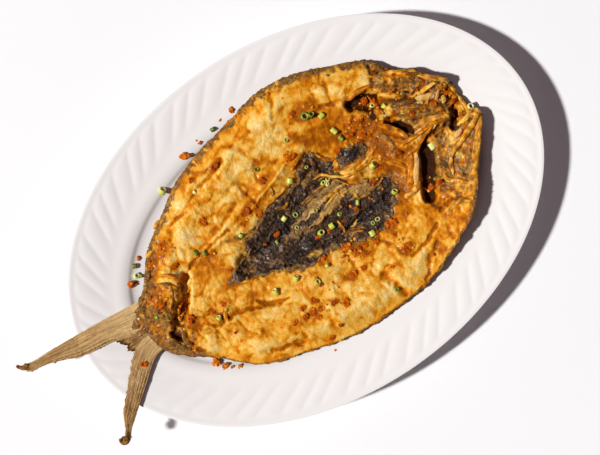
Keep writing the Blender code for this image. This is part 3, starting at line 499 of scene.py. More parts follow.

# ---------------------------------------------------------------- ridges and bones
# How each kind is coloured: browning, skin, char with painted shade, bone.
KINDS = {
    "pale": (0.34, 0.22, 0.0, 0.20), "gold": (0.44, 0.42, 0.0, 0.0), "amber": (0.56, 0.32, 0.0, 0.0),
    "orange": (0.58, 0.16, 0.0, 0.0), "white": (0.34, 0.24, 0.0, 0.50), "tan": (0.60, 0.68, 0.0, 0.0),
    "olive": (0.55, 0.85, 0.0, 0.0), "char_and_shade": (0.75, 0.5, 0.45, 0.0), "bone": (0.56, 0.56, 0.0, 0.28),
}
# MM: kind, height over width, path of (x, y, lift, half width).
BELLY_STRANDS = (
    ("pale", .8, ((19, 21, .4, .7), (26, 20.5, 1.6, 1), (30, 17.5, 2, 1), (34, 14, 2, 1), (40, 11, 1.8, 1),
     (48, 11, 1.5, 1), (58, 12.5, 1.2, 1.2), (66, 16, .3, 1))),
    ("bone", .8, ((21, 18.5, .4, .5), (27, 18, 1.2, .7), (31, 14.5, 1.2, .8), (34, 11, .9, .7), (37, 6.5,
     .7, .6), (39.5, 3, .1, .4))),
    ("pale", .5, ((16, .5, .1, .5), (22, 2.6, .5, .8), (28, 4.6, .5, .8), (33, 5.4, .1, .5))),
    ("tan", .5, ((2, 8.4, .1, .5), (12, 11, .5, .8), (22, 13.4, .5, .8), (31, 14, .1, .5))),
    ("amber", .45, ((36, 10.5, .1, .8), (46, 9.4, .6, 1.2), (57, 9.8, .5, 1.2), (66, 12, .1, .8))),
    ("tan", .45, ((36, -7, .1, .6), (44, -7.6, .5, 1), (53, -6.4, .5, 1), (60, -4.4, .1, .6))),
    ("gold", .5, ((17, 4, .8, .7), (25, 5.8, 1.6, 1.2), (34, 5.5, .7, .9))),
    ("bone", .5, ((3, 10.5, .1, .6), (12, 12.5, .8, .8), (22, 13.8, .8, .8), (29, 12.5, .2, .6))),
    ("pale", .6, ((-10, -21.6, .6, .5), (-8, -22.4, 1.5, 1), (-6, -22.6, .6, .5))),
    ("tan", .5, ((17, -24, .1, .8), (23, -22.6, 1, 1.2), (28, -23.6, 1, 1.2), (32, -26.4, .1, .8))),
    ("bone", .5, ((18, -27.2, .1, .7), (24, -25.4, .7, .9), (30, -27.4, .1, .7))),
    ("amber", .6, ((18.3, -12, .4, .5), (19.2, -17, 1.3, .9), (18.2, -22, .2, .6))),
    ("gold", .6, ((38, -1.5, .3, .7), (38.5, -4.5, 1.3, 1), (39.5, -9, .2, .7))),
    ("bone", .5, ((-14, 18.5, .1, .8), (-8, 15.5, .9, 1.2), (-3, 17.5, .1, .8))),
    ("gold", .5, ((-22, 21, .1, 1), (-14, 24, .9, 1.5), (-4, 25.8, .9, 1.4), (6, 27.6, .3, 1))),
    ("gold", .55, ((-12, 26, .1, .8), (-9.5, 28.5, 1.2, 1.2), (-8.5, 31.5, .4, .8))),
    ("amber", .45, ((10, 34, .1, 1.2), (13, 37, 1, 2), (18, 39, .8, 1.8), (24, 41, .1, 1))),
    ("amber", .5, ((30, 36, .1, .9), (33, 30, .9, 1.3), (37, 26, .8, 1.2), (40, 24.5, .1, .9))),
)
HEAD_STRANDS = (
    ("orange", .7, ((80, 8, .1, .9), (86, 8.3, 1.3, 1.3), (95, 8.2, 1.9, 1.3), (104, 8.6, 1.7, 1.2), (113,
     8.2, .9, 1.1), (120, 6, 0, .8))),
    ("white", .6, ((95, 10.2, 1, .6), (100, 10.2, 2, 1), (105, 10.6, .8, .6))),
    ("orange", .6, ((79, -1, .1, .8), (86, .5, 1.2, 1.2), (92, .5, 1.6, 1.2), (96, 3, 1.6, 1.2), (104, 6.5,
     1, 1), (110, 8, .1, .8))),
    ("white", .45, ((77.6, -20, .6, 1.2), (80.6, -15.4, 2.6, 2), (83.4, -11, 3, 1.9), (86.6, -6.4, 2.8,
     1.6), (89.6, -2, 1.6, 1))),
    ("amber", .4, ((72, -20, -.4, 2), (78, -14, .7, 3), (83, -6, .6, 2.5), (87, 0, -.1, 1.5))),
    ("gold", .5, ((66, -24, -.2, 2), (72, -23.5, 1, 2.6), (78, -21.5, 1.3, 2.2), (81, -19, .3, 1.3))),
    ("gold", .6, ((140, -1.5, .2, 1.3), (133, -5, 1.9, 2.1), (126, -8.5, 2.6, 2), (118, -12, 2.8, 1.8),
     (110, -15, 2.6, 1.7), (106, -19, 2, 1.6), (104, -24, 1.2, 1.4), (102, -30, -.1, 1))),
    ("gold", .35, ((139, -5, -.4, 1.4), (132.5, -12, .5, 2.2), (125, -21, .6, 2.5), (118, -30, .5, 2.5),
     (111, -38.5, .3, 2.4), (103, -46, -.4, 1.6))),
    ("gold", .5, ((96, 58, -.2, 1), (103, 53.8, 1.1, 1.7), (109, 50.5, 1.1, 1.9), (115, 48, .8, 1.6), (119,
     44.5, -.1, 1))),
    ("gold", .5, ((117, 42.5, -.1, 1), (124, 36.5, 1.1, 1.8), (130, 31.5, 1.2, 1.7), (134.5, 27.5, .1, 1))),
    ("pale", .5, ((106, 33, .2, .8), (112, 31.5, 1.2, 1.5), (119, 32, 1, 1.5), (126, 31.5, .2, 1))),
    ("white", .45, ((107, 29.5, .1, 1), (112, 28.5, 1.2, 2), (116, 26.8, 1.2, 2), (120, 26.5, .2, 1))),
    ("white", .5, ((119.5, 21.6, .2, .7), (122, 24, 1.3, 1.1), (124.7, 26.4, .2, .8))),
    ("white", .55, ((122, 17, .2, .9), (124, 19, 1.4, 1.9), (125.6, 21.6, .2, .9))),
    ("tan", .5, ((90, 28, .1, .8), (97, 23.5, 1, 1.3), (104, 19.8, 1, 1.4), (112, 15.5, .7, 1.3), (119,
     11.6, 0, .8))),
    ("tan", .5, ((92, 32, .1, .8), (99, 28.5, 1, 1.3), (106, 25.2, 1, 1.3), (113, 20.2, .6, 1.1), (118,
     16.8, 0, .7))),
    ("char_and_shade", .5, ((91, 34.5, .1, 1), (98, 32.2, 1, 1.6), (105, 30, 1, 1.5), (110, 27.6, 0, .8))),
    ("gold", .45, ((97, 14, .1, 1), (104, 13, 1, 2.2), (112, 11.5, .9, 2.2), (119, 10, .1, 1.2))),
    ("gold", .6, ((132, 27.5, .2, 1), (134.4, 22, 1.2, 1.5), (133.6, 17, 1.4, 1.6), (135, 12, 1.2, 1.5),
     (134.6, 5.5, 1.1, 1.6), (133.5, -1, .3, 1.2))),
    ("orange", .6, ((123, 25.5, .2, .8), (128, 23, 1.3, 1.2), (132, 19, 1.2, 1.2), (131, 13, .9, 1.1),
     (127.5, 9.5, 0, .8))),
    ("gold", .5, ((128, 3, .2, 1.2), (131, 8, 1.2, 2), (130, 13, .4, 1.3))),
    ("pale", .5, ((123, -1, .1, 1), (129, -.5, 1.1, 1.7), (135, 1.5, .7, 1.4), (139, 2.5, 0, .8))),
    ("white", .5, ((117, -6.5, .6, 1), (121, -5.5, 1.9, 1.7), (124, -4.5, .8, 1))),
    ("gold", .5, ((98, -23, .1, .8), (97, -28, 1, 1.4), (102, -33, 1.1, 1.6), (108, -38, .2, 1.1))),
    ("gold", .5, ((84, -49, -.1, 1.2), (90, -46.3, 1.2, 1.8), (97, -46, 1.3, 1.6), (103, -49.5, .1, 1.1))),
    ("amber", .5, ((66, 57.5, -.1, 1.3), (71, 54.8, 1.4, 2), (77, 55.4, 1.4, 1.8), (83, 54.6, .9, 1.6),
     (90, 53.8, 0, 1))),
    ("orange", .6, ((82, 47, .1, .8), (84, 43, 1.1, 1.3), (83, 38, 1, 1.2), (85, 32, .1, .8))),
    ("gold", .5, ((88, 47, .1, 1), (93, 43, 1.1, 2), (98, 38.5, .9, 1.8), (101, 35, 0, 1))),
    ("tan", .5, ((98, 47.5, .1, 1), (105, 46, 1, 1.8), (111, 42, .9, 1.8), (114, 37, 0, 1))),
    ("tan", .5, ((104, 40, .1, 1), (109, 37.5, .9, 1.6), (115, 37, .7, 1.4), (121, 33, 0, .9))),
    ("pale", .6, ((80, 31, .1, .8), (84, 30, 1, 1.5), (86, 27, .1, .8))),
    ("amber", .5, ((77, 29, -.2, 1.4), (83, 23, .8, 2), (88, 15, .8, 2), (90, 10, 0, 1.2))),
    ("bone", .4, ((72, 24, -.2, 1.2), (77, 18, .7, 2), (78, 10, .6, 2), (74, 4, -.1, 1.1))),
    ("amber", .4, ((68, 4, -.2, 1.2), (74, 0, .8, 2.2), (77, -7, .7, 2.2), (74, -13, -.1, 1.2))),
)
TAIL_STRANDS = (
    ("gold", .4, ((-111, -1, .2, .8), (-107, 4, .8, 1.6), (-104, 9.5, .7, 1.5), (-105, 15, .1, .9))),
    ("amber", .5, ((-97, 3, .1, 1), (-95.5, 9, 1, 1.5), (-97.5, 15, 1, 1.6), (-101, 19.5, .8, 1.5), (-107,
     22, 0, 1))),
    ("tan", .45, ((-110, 18, .1, 1), (-106, 15, .8, 1.8), (-101, 9, .8, 1.8), (-102, 3, .1, 1))),
    ("pale", .4, ((-99, 4, .1, 1.2), (-95, 4, 1.1, 2.6), (-91, 6, .9, 2.2), (-88, 9, 0, 1.2))),
    ("amber", .5, ((-112, -11, .1, 1), (-108, -5, 1, 1.8), (-103, -1.5, .9, 1.6), (-99, -1, 0, 1))),
    ("pale", .5, ((-111, -12, .2, .8), (-109, -9.5, 1.2, 1.4), (-106, -9, .2, .8))),
    ("tan", .5, ((-127, -7, .1, 1), (-121, -7, 1, 2), (-116, -9, .9, 2), (-112, -13, .1, 1))),
    ("tan", .5, ((-126, 8, .1, 1), (-121, 5, .9, 2), (-118, 0, .8, 1.8), (-117, -4, .1, 1))),
    ("olive", .45, ((-127, -17, -.1, 1.2), (-123, -20, .9, 2.4), (-120, -27, .8, 2.2), (-114, -33, -.1,
     1.2))),
    ("tan", .5, ((-115, -14, .1, 1), (-112, -19, .9, 1.8), (-114, -25, .8, 1.8), (-112, -30, 0, 1))),
    ("olive", .45, ((-122, 16, -.1, 1.2), (-117, 21, .8, 2), (-111, 29, .8, 2), (-105, 36, -.1, 1.2))),
    ("gold", .5, ((-107, 38, .1, 1), (-103, 38.5, 1, 1.6), (-99, 38.5, .1, 1))),
    ("gold", .5, ((-92, 51.5, -.1, 1), (-87, 53.5, 1, 1.5), (-82, 53, .2, 1))),
    ("gold", .5, ((-83, -29.8, .1, 1), (-82, -25, 1.1, 1.5), (-79, -21.5, .9, 1.3), (-75, -21.5, .1, .8))),
)
STRAND_STEP = 0.0005
STRAND_SIDES = 14
OFF_FISH = 0.019                 # the height taken where a ridge reaches past the fish

# ---------------------------------------------------------------------- tail fin
FAR_LOBE = {
    "edge_a": ((-0.116, 0.014), (-0.132, 0.0155), (-0.162, 0.0177), (-0.196, 0.0191),
               (-0.213, 0.0197), (-0.2185, 0.0212), (-0.2208, 0.0231)),
    "edge_b": ((-0.116, -0.006), (-0.142, -0.0035), (-0.157, 0.0010), (-0.178, 0.0037),
               (-0.201, 0.0117), (-0.2170, 0.0156), (-0.2202, 0.0200)),
    "root_z": 0.0190,
    "tip_z": 0.0312,
}
NEAR_LOBE = {
    "edge_a": ((-0.120, -0.004), (-0.148, -0.0128), (-0.1592, -0.0240), (-0.168, -0.0343),
               (-0.1765, -0.0440), (-0.1812, -0.0540), (-0.1846, -0.0580), (-0.1880, -0.0578)),
    "edge_b": ((-0.118, -0.023), (-0.134, -0.0225), (-0.155, -0.0375), (-0.1675, -0.0480),
               (-0.1780, -0.0570), (-0.1835, -0.0628), (-0.1885, -0.0620)),
    "root_z": 0.0195,
    "tip_z": 0.0312,
}
WEB = {
    "edge_a": ((-0.120, 0.0080), (-0.142, 0.0020), (-0.1560, 0.0004)),
    "edge_b": ((-0.120, -0.0150), (-0.138, -0.0135), (-0.1490, -0.0135)),
    "root_z": 0.0206,
    "tip_z": 0.0226,
}
LOBE_ROWS = 240
LOBE_LANES = 72
LOBE_THICKNESS = 0.0022
END_FRAY = 0.0026
LOBE_DROOP = 0.0008
RAY_RELIEF = 0.00033
RAY_RADIUS = 0.00034
RAY_RISE = 0.00012               # how far a ray's middle stands over the lobe
RAYS_PER_LOBE = 17
RAY_STEPS = 90
# MM: kind, height over width, path; lifts are measured from the platter's base here.
FIN_STRANDS = (
    ("olive", .6, ((-213, 19.5, 30.9, 1.6), (-217, 19, 31.2, 1.5), (-219.4, 20.4, 31.4, 1.1), (-220.3, 23,
     31.6, .8))),
    ("olive", .6, ((-183, -58, 30.6, 2.2), (-185.4, -61.4, 31, 2.2), (-187.4, -61, 31.2, 1.4), (-188,
     -58.8, 31.4, .9), (-187.6, -57, 31.6, .6))),
    ("olive", .6, ((-183, -61, 30.8, 1), (-180.6, -60.6, 30.8, .6), (-179.6, -61.2, 30.8, .4))),
    ("olive", .3, ((-120, 4, 22.2, 4), (-129, 4, 22.8, 4.6), (-137, 2.4, 22.6, 3), (-144, 1.6, 22, 1))),
    ("olive", .35, ((-120, -3, 22, 3), (-130, -3.5, 22.4, 3.2), (-137, -4.5, 22.2, 2), (-143, -6, 21.8,
     1))),
    ("bone", .4, ((-129, 1.6, 23.4, .7), (-133, -.4, 23.4, 1.2), (-137, -2.6, 22.9, .6))),
    ("olive", .35, ((-120, 11, 21.6, 2.5), (-128, 9.6, 22.2, 3), (-135, 7.6, 21.8, 1.6), (-140, 5.6, 21.6,
     .6))),
    ("tan", .35, ((-122, -13, 21.4, 3), (-128, -12.5, 22, 3), (-134, -11.6, 21.6, 1.4))),
    ("olive", .35, ((-122, -19, 21.2, 3), (-126, -19.4, 21.8, 3.2), (-130, -19.5, 21.2, 1.6))),
)

# ---------------------------------------------------------------------- toppings
# MM: x, y, radius, length, lean (degrees), heading (degrees), tone (0 cream to 1 dark green).
ONIONS = (
    (49.5, 41.5, 1.9, 4.6, 84, 108, .25), (51, 34.8, 1.7, 4, 84, 100, .75),
    (5.4, 28.8, 1.9, 3.8, 80, 55, .4), (24, 15.4, 1.7, 2.6, 20, 10, .3), (28, 15.6, 1.7, 2.4, 25, 60, .35),
    (26, 13, 1.3, 2.2, 30, 0, 0), (59.6, 7, 2.6, 3.4, 60, 10, .35), (-12, 9, 1.8, 3.4, 78, 20, .15),
    (-4, 7, 2, 1.6, 8, 0, .75), (9, 2, 1.7, 1.6, 20, 0, .55), (-8, -1, 1.6, 1.5, 15, 0, .6),
    (-25, -2, 1.1, 2.6, 85, 80, .7), (4.4, -13, 2.3, 2.8, 30, 0, .45), (13, -13, 1.9, 3.4, 80, 0, .4),
    (22, -9, 1.5, 1.6, 40, 0, .5), (37, -9, 1.5, 4, 85, 60, .7), (38, -26.6, 1.5, 1.4, 20, 0, .6),
    (42.2, -26, 1.8, 1.5, 10, 0, .55), (34, -32.2, 2.1, 4, 85, 88, .3), (62.6, -16.4, 2.2, 2.4, 45, 40, .5),
    (-4.4, -34.2, 1.5, 2.6, 60, 0, .35), (-15.6, -40, 2, 1.5, 10, 0, .65), (-27, -30, 2, 3.4, 60, 50, .3),
    (-44, -30.2, 2.1, 3.6, 60, 90, .3), (-43.4, 15.2, 1.4, 2.4, 70, 30, .5),
    (-71, 18.4, 1.7, 3, 80, 100, .8), (-76.2, 22, 1.5, 3.4, 85, 110, .85), (-54, 57.4, 1.3, 2, 60, 20, .1),
    (-10, 47.6, 1.8, 1.6, 20, 0, .85), (18, 53.6, 1.6, 1.5, 15, 0, .6), (37.6, 60.4, 2.9, 2.4, 12, 0, .85),
    (42, 59.2, 2.2, 2.6, 25, 20, .9), (47.6, 54.6, 1.6, 4, 84, 15, .4), (81.4, 42.2, 1.8, 2.2, 25, 0, .2),
    (88.2, 37, 2.3, 3.4, 60, 20, .35), (101.2, -3.6, 2.1, 4.8, 84, 95, .05), (91, -24, 1.2, 1.8, 50, 0, .8),
    (-121.8, -1.2, 1.4, 2.4, 60, 0, .8), (-86.6, -24.4, 1.8, 2.8, 55, 70, .3),
    (27, -73.6, 1.5, 1.4, 20, 0, .8), (-102, 42.2, .8, 1.2, 40, 0, .6), (-77, 61, .8, 2, 85, 10, .9),
    (126, 41.4, .9, 2.2, 80, 120, .8), (131.6, 36.8, 1.2, 5.6, 86, 140, .65),
    (20, 30.6, 1.3, 1.4, 30, 0, .5),
)
PLATE_ONIONS = (
    (-72.6, 70.6, 2.6, 3.4, 50, 30, .3), (-20.5, 87.6, 1.6, 3, 80, 0, .9),
    (-117.4, 37.2, 1.5, 3, 82, 150, .85), (-119.6, 30.6, 2.1, 2.6, 30, 0, .1),
    (-118, 29.4, 1.3, 3, 82, 150, .55),
)
HEAD_RING = (137.6, 5.0, 2.5, 2.6, 30, 0, .05)   # a cream ring that leans on the fish's lip
# MM: x, y, radius, stretch, heading (degrees).
GARLIC = (
    (-22, 3, 2.4, 1.3, 40), (-33, 1.5, 1.1, 1.1, 0), (53, -3, 2.1, 1.7, 15), (47.6, -33, 3.2, 1.3, 20),
    (51, -34, 2.4, 1.2, 0), (37, -33, 1.3, 1.3, 0), (34, -12.4, 1.6, 1.5, 30), (10, -15.4, 1.9, 1.2, 60),
    (1, -14.6, 1.8, 1.2, 0), (21, -14.6, 1.6, 1.3, 80), (-5, -28.4, 2.9, 1.2, 10), (15, 42, 2.4, 1.4, 0),
    (-10, 39, 2.5, 1.2, 30), (-25.4, 38, 1.5, 1.2, 0), (-24, 21, 1.8, 1.2, 60), (-30, 27, 2.2, 1.3, 90),
    (78, 48, 2.9, 1.2, 70), (84, 44, 1.8, 1.4, 90), (97, 43, 1.8, 1.2, 0), (112.4, 35, 1.5, 1.4, 60),
    (118, 36.6, 1.5, 1.3, 20), (101, 21.4, 1.9, 1.3, 80), (117, 20.2, 2, 1.2, 0), (91, 28, 1.8, 1.2, 0),
    (86, -27.4, 2.4, 1.2, 20), (91.4, -28.4, 2.1, 1.2, 50), (-115, 5, 3, 1.4, 10), (-118, 12, 2, 1.3, 0),
    (-105.4, -6.8, 2.9, 1.3, 10), (-102.6, -15, 2.6, 1.3, 40), (63, 2.4, 1.8, 1.2, 0), (79, 5, 2, 1.3, 0),
    (82, 35.4, 2, 1.3, 70), (-61.6, -.6, 1.4, 1.2, 0), (62, 35, 1.8, 1.2, 0), (66, 29.6, 2, 1.2, 0),
    (70, 33, 1.7, 1.2, 0), (57.4, 33, 1.8, 1.3, 0), (44.6, 29, 2, 1.2, 0), (24.6, 31, 1, 1.2, 0),
    (-147, -23.4, 2.2, 1.5, 160), (-126, 22.6, 1.4, 1.2, 0), (104, 51, 1.4, 1.2, 0),
    (129.6, 14.6, 1.7, 1.2, 0), (127, 21.4, 1.5, 1.2, 0), (71.4, 19.8, 1.2, 1.3, 0),
)
# Flat brown crusts that have stuck to the flesh, in the same terms.
STUCK_GARLIC = (
    (-30, -56.4, 2.2, 1.2, 0), (-25, -50.4, 2.4, 1.2, 0), (-35.6, -56, 2.3, 1.2, 30),
    (-24.4, -56.4, 1.9, 1.2, 0), (-34, -50, 2, 1.2, 0), (-28.4, -61, 1.8, 1.4, 0),
    (-13.4, -58.4, 2.4, 1.4, 10), (-7, -62.4, 2.3, 1.4, 60), (7, -49, 2.6, 1.3, 0),
    (16.4, -49.4, 1.9, 1.3, 0), (33, -59, 1.1, 1.2, 0), (-44, -55.4, 1.7, 1.3, 20),
    (-17.6, -73.2, 1.7, 1.7, 10), (-28, -78, 1.9, 1.4, 20), (60.4, -34.6, 1.7, 1.2, 0),
    (46.6, -41, 1.6, 1.3, 0), (33, -39, 2, 1.4, 0), (19, -38, 3, 1.3, 60), (14, -30.4, 2.6, 1.4, 0),
    (23.6, -41.6, 1.6, 1.2, 0), (48, -54, 2.6, 1.4, 60), (49.6, -51.6, 2.2, 1.3, 0),
    (-60, 37, 2.3, 1.5, 100), (-51, 65, 2, 1.3, 0), (-92, 38, 2.8, 1.4, 30), (-93.4, 21.6, 2.2, 1.5, 10),
    (-107, 31, 2.2, 1.4, 60), (-15.4, -38, 1.4, 1.2, 0), (-15, -43.2, 1.4, 1.4, 0),
    (31.4, 66.4, 1.9, 1.3, 0), (-88, -19, 1.5, 1.6, 110), (-78.6, -18.4, 1.5, 1.2, 0),
    (-37, 20, 1.8, 1.4, 40), (25, -36, 2.2, 1.4, 0), (10, -33, 1.6, 1.2, 0), (-82, -39, 1, 1.2, 0),
    (-33, 65, 2.6, 1.4, 10), (62, 27, 2, 1.2, 0), (68, 38, 2, 1.3, 0), (60, 40, 1.6, 1.2, 0),
)
PLATE_GARLIC = (
    (-47, 82.6, 2.9, 1.7, -25), (-126.6, 28, 2.4, 1.2, 0), (-111.6, 40, 1.4, 1.2, 0),
    (-105.6, -50.4, 3.2, 1.3, 80), (-103.6, -47.4, 2.6, 1.2, 0), (-101, -55, 2.4, 1.3, 10),
    (-92.6, -61, 1.7, 1.3, 20), (-13, 90.2, .9, 1.2, 0), (-34, 87.4, .8, 1.2, 0),
    (-2.4, 91.6, 1.9, 1.2, 70), (-31, -86.6, .8, 1.2, 0), (-97.6, -58.4, 1.2, 1.2, 0),
    (-123, 26.8, 1.6, 1.3, 60), (-33, 84.6, 1.2, 1.6, 0),
)
# MM: crumbs strewn over ovals by a seeded draw: x, y, half sizes, count.
CRUMB_ZONES = (
    (18, -36, 12, 8, 26), (-28, -55, 14, 8, 10), (5, -48, 20, 5, 8), (-10, -61, 12, 5, 7),
    (48, -52, 7, 7, 10), (62, 32, 12, 10, 30), (80, 42, 10, 12, 22), (66, 5, 10, 16, 14),
    (34, 64, 12, 6, 8), (16, 43, 7, 4, 8), (-30, 26, 9, 5, 10), (-92, 36, 8, 5, 10), (-105, 14, 9, 12, 14),
    (-104, -12, 8, 10, 14), (88, -27, 8, 6, 14), (30, -8, 30, 16, 12), (-75, 16, 16, 8, 6),
    (110, 35, 14, 12, 14), (128, 14, 7, 14, 10), (20, 88, 40, 2.5, 22), (-50, 74, 30, 2.5, 10),
    (50, 80, 22, 8, 6),
)
CRUMB_SEED = 29
CRUMB_SHAPE = (1.3, 1.0, 0.5)
CRUMB_FLOOR = 0.3 * PLATE_HEIGHT   # crumbs lie on nothing lower
GARLIC_SEED = 41
GARLIC_SCALE = 0.92
GARLIC_BREADTH = 0.95
RING_WALL = 0.46                 # of a ring's radius
CRUMB_RADIUS = (0.0005, 0.0013)
TOPPING_SINK = 0.30
TALLEST = 0.0332              # nothing stands above the fin tips


# ----------------------------------------------------------------------- helpers
def paint(red, green, blue):
    """A colour as it shows under the light, 0 to 255, as the surface's own colour."""
    shown = np.array((red, green, blue)) / 255.0
    linear = np.where(shown <= 0.04045, shown / 12.92, ((shown + 0.055) / 1.055) ** 2.4)
    return (*(float(c) for c in linear / LIT_GAIN), 1.0)


def ease(value):
    """0 to 1, starting and ending gently."""
    value = np.clip(value, 0.0, 1.0)
    return value * value * (3.0 - 2.0 * value)


def through(where, knots, values):
    """A smooth curve through (knots, values), read at where."""
    knots = np.asarray(knots, float)
    values = np.asarray(values, float)
    slopes = np.gradient(values, knots)
    cell = np.clip(np.searchsorted(knots, where) - 1, 0, len(knots) - 2)
    width = knots[cell + 1] - knots[cell]
    u = np.clip((where - knots[cell]) / width, 0.0, 1.0)
    start = (1 + 2 * u) * (1 - u) ** 2 * values[cell] + u * (1 - u) ** 2 * width * slopes[cell]
    end = u * u * (3 - 2 * u) * values[cell + 1] + u * u * (u - 1) * width * slopes[cell + 1]
    return start + end


def run_along(points):
    """How far along a line each of its points lies."""
    return np.concatenate(([0.0], np.cumsum(np.linalg.norm(np.diff(points, axis=0), axis=1))))


SHUFFLE = np.random.RandomState(3).permutation(4096)
RIPPLE_GAIN = 1.6                # brings ripples to about -1 to 1
RIDGE_GAIN = 1.8


def lattice_share(column, row, seed):
    """A fixed random share, 0 to 1, for each point of a lattice."""
    first = SHUFFLE[(column + 197 * seed) % len(SHUFFLE)]
    return SHUFFLE[(first + row) % len(SHUFFLE)] / len(SHUFFLE)


def ripple(x, y, *layers):
    """Smooth noise: the sum of layers of height, size of the humps in millimetres, seed."""
    total = np.zeros(x.shape)
    for height, size, seed in layers:
        u = x / (size * MM)
        v = y / (size * MM)
        column = np.floor(u).astype(int)
        row = np.floor(v).astype(int)
        for i, j in ((0, 0), (0, 1), (1, 0), (1, 1)):
            angle = 2 * math.pi * lattice_share(column + i, row + j, seed)
            du = u - column - i
            dv = v - row - j
            slope = np.cos(angle) * du + np.sin(angle) * dv
            total += RIPPLE_GAIN * height * slope * ease(1 - np.abs(du)) * ease(1 - np.abs(dv))
    return total


def ridged(x, y, *layers):
    """Sharp crests that fall to about 0 between them, in layers as for ripple."""
    return sum(height * (1.0 - np.minimum(RIDGE_GAIN * np.abs(ripple(x, y, (1, size, seed))), 1.0))
               for height, size, seed in layers)


def from_stretch(x, y, start, end):
    """Distance from a straight stretch, and the share of it passed at its nearest point."""
    run_x = end[0] - start[0]
    run_y = end[1] - start[1]
    u = np.clip(((x - start[0]) * run_x + (y - start[1]) * run_y) / (run_x ** 2 + run_y ** 2), 0.0, 1.0)
    return np.hypot(x - start[0] - u * run_x, y - start[1] - u * run_y), u


def brush(x, y, path, softness):
    """1 along a path given in millimetres, falling to 0 past its edge."""
    spots = np.array(path, float) * MM
    reach = (1.0 + softness) * spots[:, 2].max()
    low = spots[:, :2].min(0) - reach
    high = spots[:, :2].max(0) + reach
    near = (x > low[0]) & (x < high[0]) & (y > low[1]) & (y < high[1])
    share = np.full(near.sum(), np.inf)
    for start, end in zip(spots, spots[1:]):
        gap, u = from_stretch(x[near], y[near], start, end)
        share = np.minimum(share, gap / (start[2] + u * (end[2] - start[2])))
    amount = np.zeros(x.shape)
    amount[near] = ease((1.0 + softness - share) / (2.0 * softness))
    return amount


def frayed(x, y, reach):
    """The same points, moved a little, so that what is drawn at them has ragged edges."""
    move_x = ripple(x, y, (0.9, 5.5, 21), (0.5, 2.1, 22))
    move_y = ripple(x, y, (0.9, 5.5, 23), (0.5, 2.1, 24))
    return x + reach * MM * move_x, y + reach * MM * move_y


def painted(x, y, marks):
    """The strongest of several brushed marks: strength, softness, path."""
    amount = np.zeros(x.shape)
    for strength, softness, path in marks:
        amount = np.maximum(amount, strength * brush(x, y, path, softness))
    return amount


def outline_depth(x, y, outline):
    """Distance in from a closed outline given in millimetres; below 0 outside it."""
    points = np.array(outline, float) * MM
    gap = np.full(x.shape, np.inf)
    inside = np.zeros(x.shape, bool)
    for start, end in zip(points, np.roll(points, -1, axis=0)):
        gap = np.minimum(gap, from_stretch(x, y, start, end)[0])
        if start[1] != end[1]:
            crossing = (end[0] - start[0]) * (y - start[1]) / (end[1] - start[1]) + start[0]
            inside ^= ((start[1] > y) != (end[1] > y)) & (x < crossing)
    return np.where(inside, gap, -gap)


# ------------------------------------------------------------------------ meshes
def mark_points(mesh, marks):
    """Gives each point a number, or three, under every name in marks."""
    for name, values in marks.items():
        values = np.asarray(values, np.float32)
        kind, field = ("FLOAT_VECTOR", "vector") if values.ndim == 2 else ("FLOAT", "value")
        mesh.attributes.new(name, kind, "POINT").data.foreach_set(field, values.ravel())


def new_piece(name, vertices, faces, material, marks):
    mesh = bpy.data.meshes.new(name)
    mesh.from_pydata(np.asarray(vertices).tolist(), [], faces)
    mesh.update()
    mesh.materials.append(material)
    mesh.shade_smooth()
    mark_points(mesh, marks)
    piece = bpy.data.objects.new(name, mesh)
    bpy.context.scene.collection.objects.link(piece)
    return piece


def face_outwards(piece, close=False):
    """Turns the faces outwards, after closing any open end."""
    body = bmesh.new()
    body.from_mesh(piece.data)
    if close:
        bmesh.ops.holes_fill(body, edges=[edge for edge in body.edges if edge.is_boundary], sides=0)
    bmesh.ops.recalc_face_normals(body, faces=body.faces)
    body.to_mesh(piece.data)
    body.free()
    piece.data.shade_smooth()
    return piece


def slab_faces(rows, lanes, step=1):
    """Quads of a grid of points, every step-th row and lane of it."""
    corners = [i * lanes + j for i in range(0, rows - step, step) for j in range(0, lanes - step, step)]
    return [(a, a + step * lanes, a + step * lanes + step, a + step) for a in corners]


def rim_of(rows, lanes):
    """The grid's outer points in turn."""
    rim = list(range(lanes))
    rim += [i * lanes + lanes - 1 for i in range(1, rows)]
    rim += [(rows - 1) * lanes + j for j in range(lanes - 2, -1, -1)]
    return rim + [i * lanes for i in range(rows - 2, 0, -1)]


def closed_slab(name, top, under, material, marks):
    """A closed piece between two grids of the same size; the lower uses every other point."""
    rows, lanes = top.shape[:2]
    shift = rows * lanes
    rim = rim_of(rows, lanes)
    faces = slab_faces(rows, lanes)
    faces += [tuple(shift + k for k in reversed(face)) for face in slab_faces(rows, lanes, 2)]
    for k in range(0, len(rim), 2):
        a, b, c = rim[k], rim[k + 1], rim[(k + 2) % len(rim)]
        faces.append((a, b, c, shift + c, shift + a))
    used = np.zeros(2 * shift, bool)
    used[:shift] = True
    used[[k for face in faces for k in face if k >= shift]] = True
    number = np.cumsum(used) - 1
    vertices = np.concatenate((top.reshape(-1, 3), under.reshape(-1, 3)))[used]
    faces = [tuple(int(number[k]) for k in face) for face in faces]
    marks = {mark: np.concatenate([side.ravel() for side in sides])[used] for mark, sides in marks.items()}
    return face_outwards(new_piece(name, vertices, faces, material, marks))


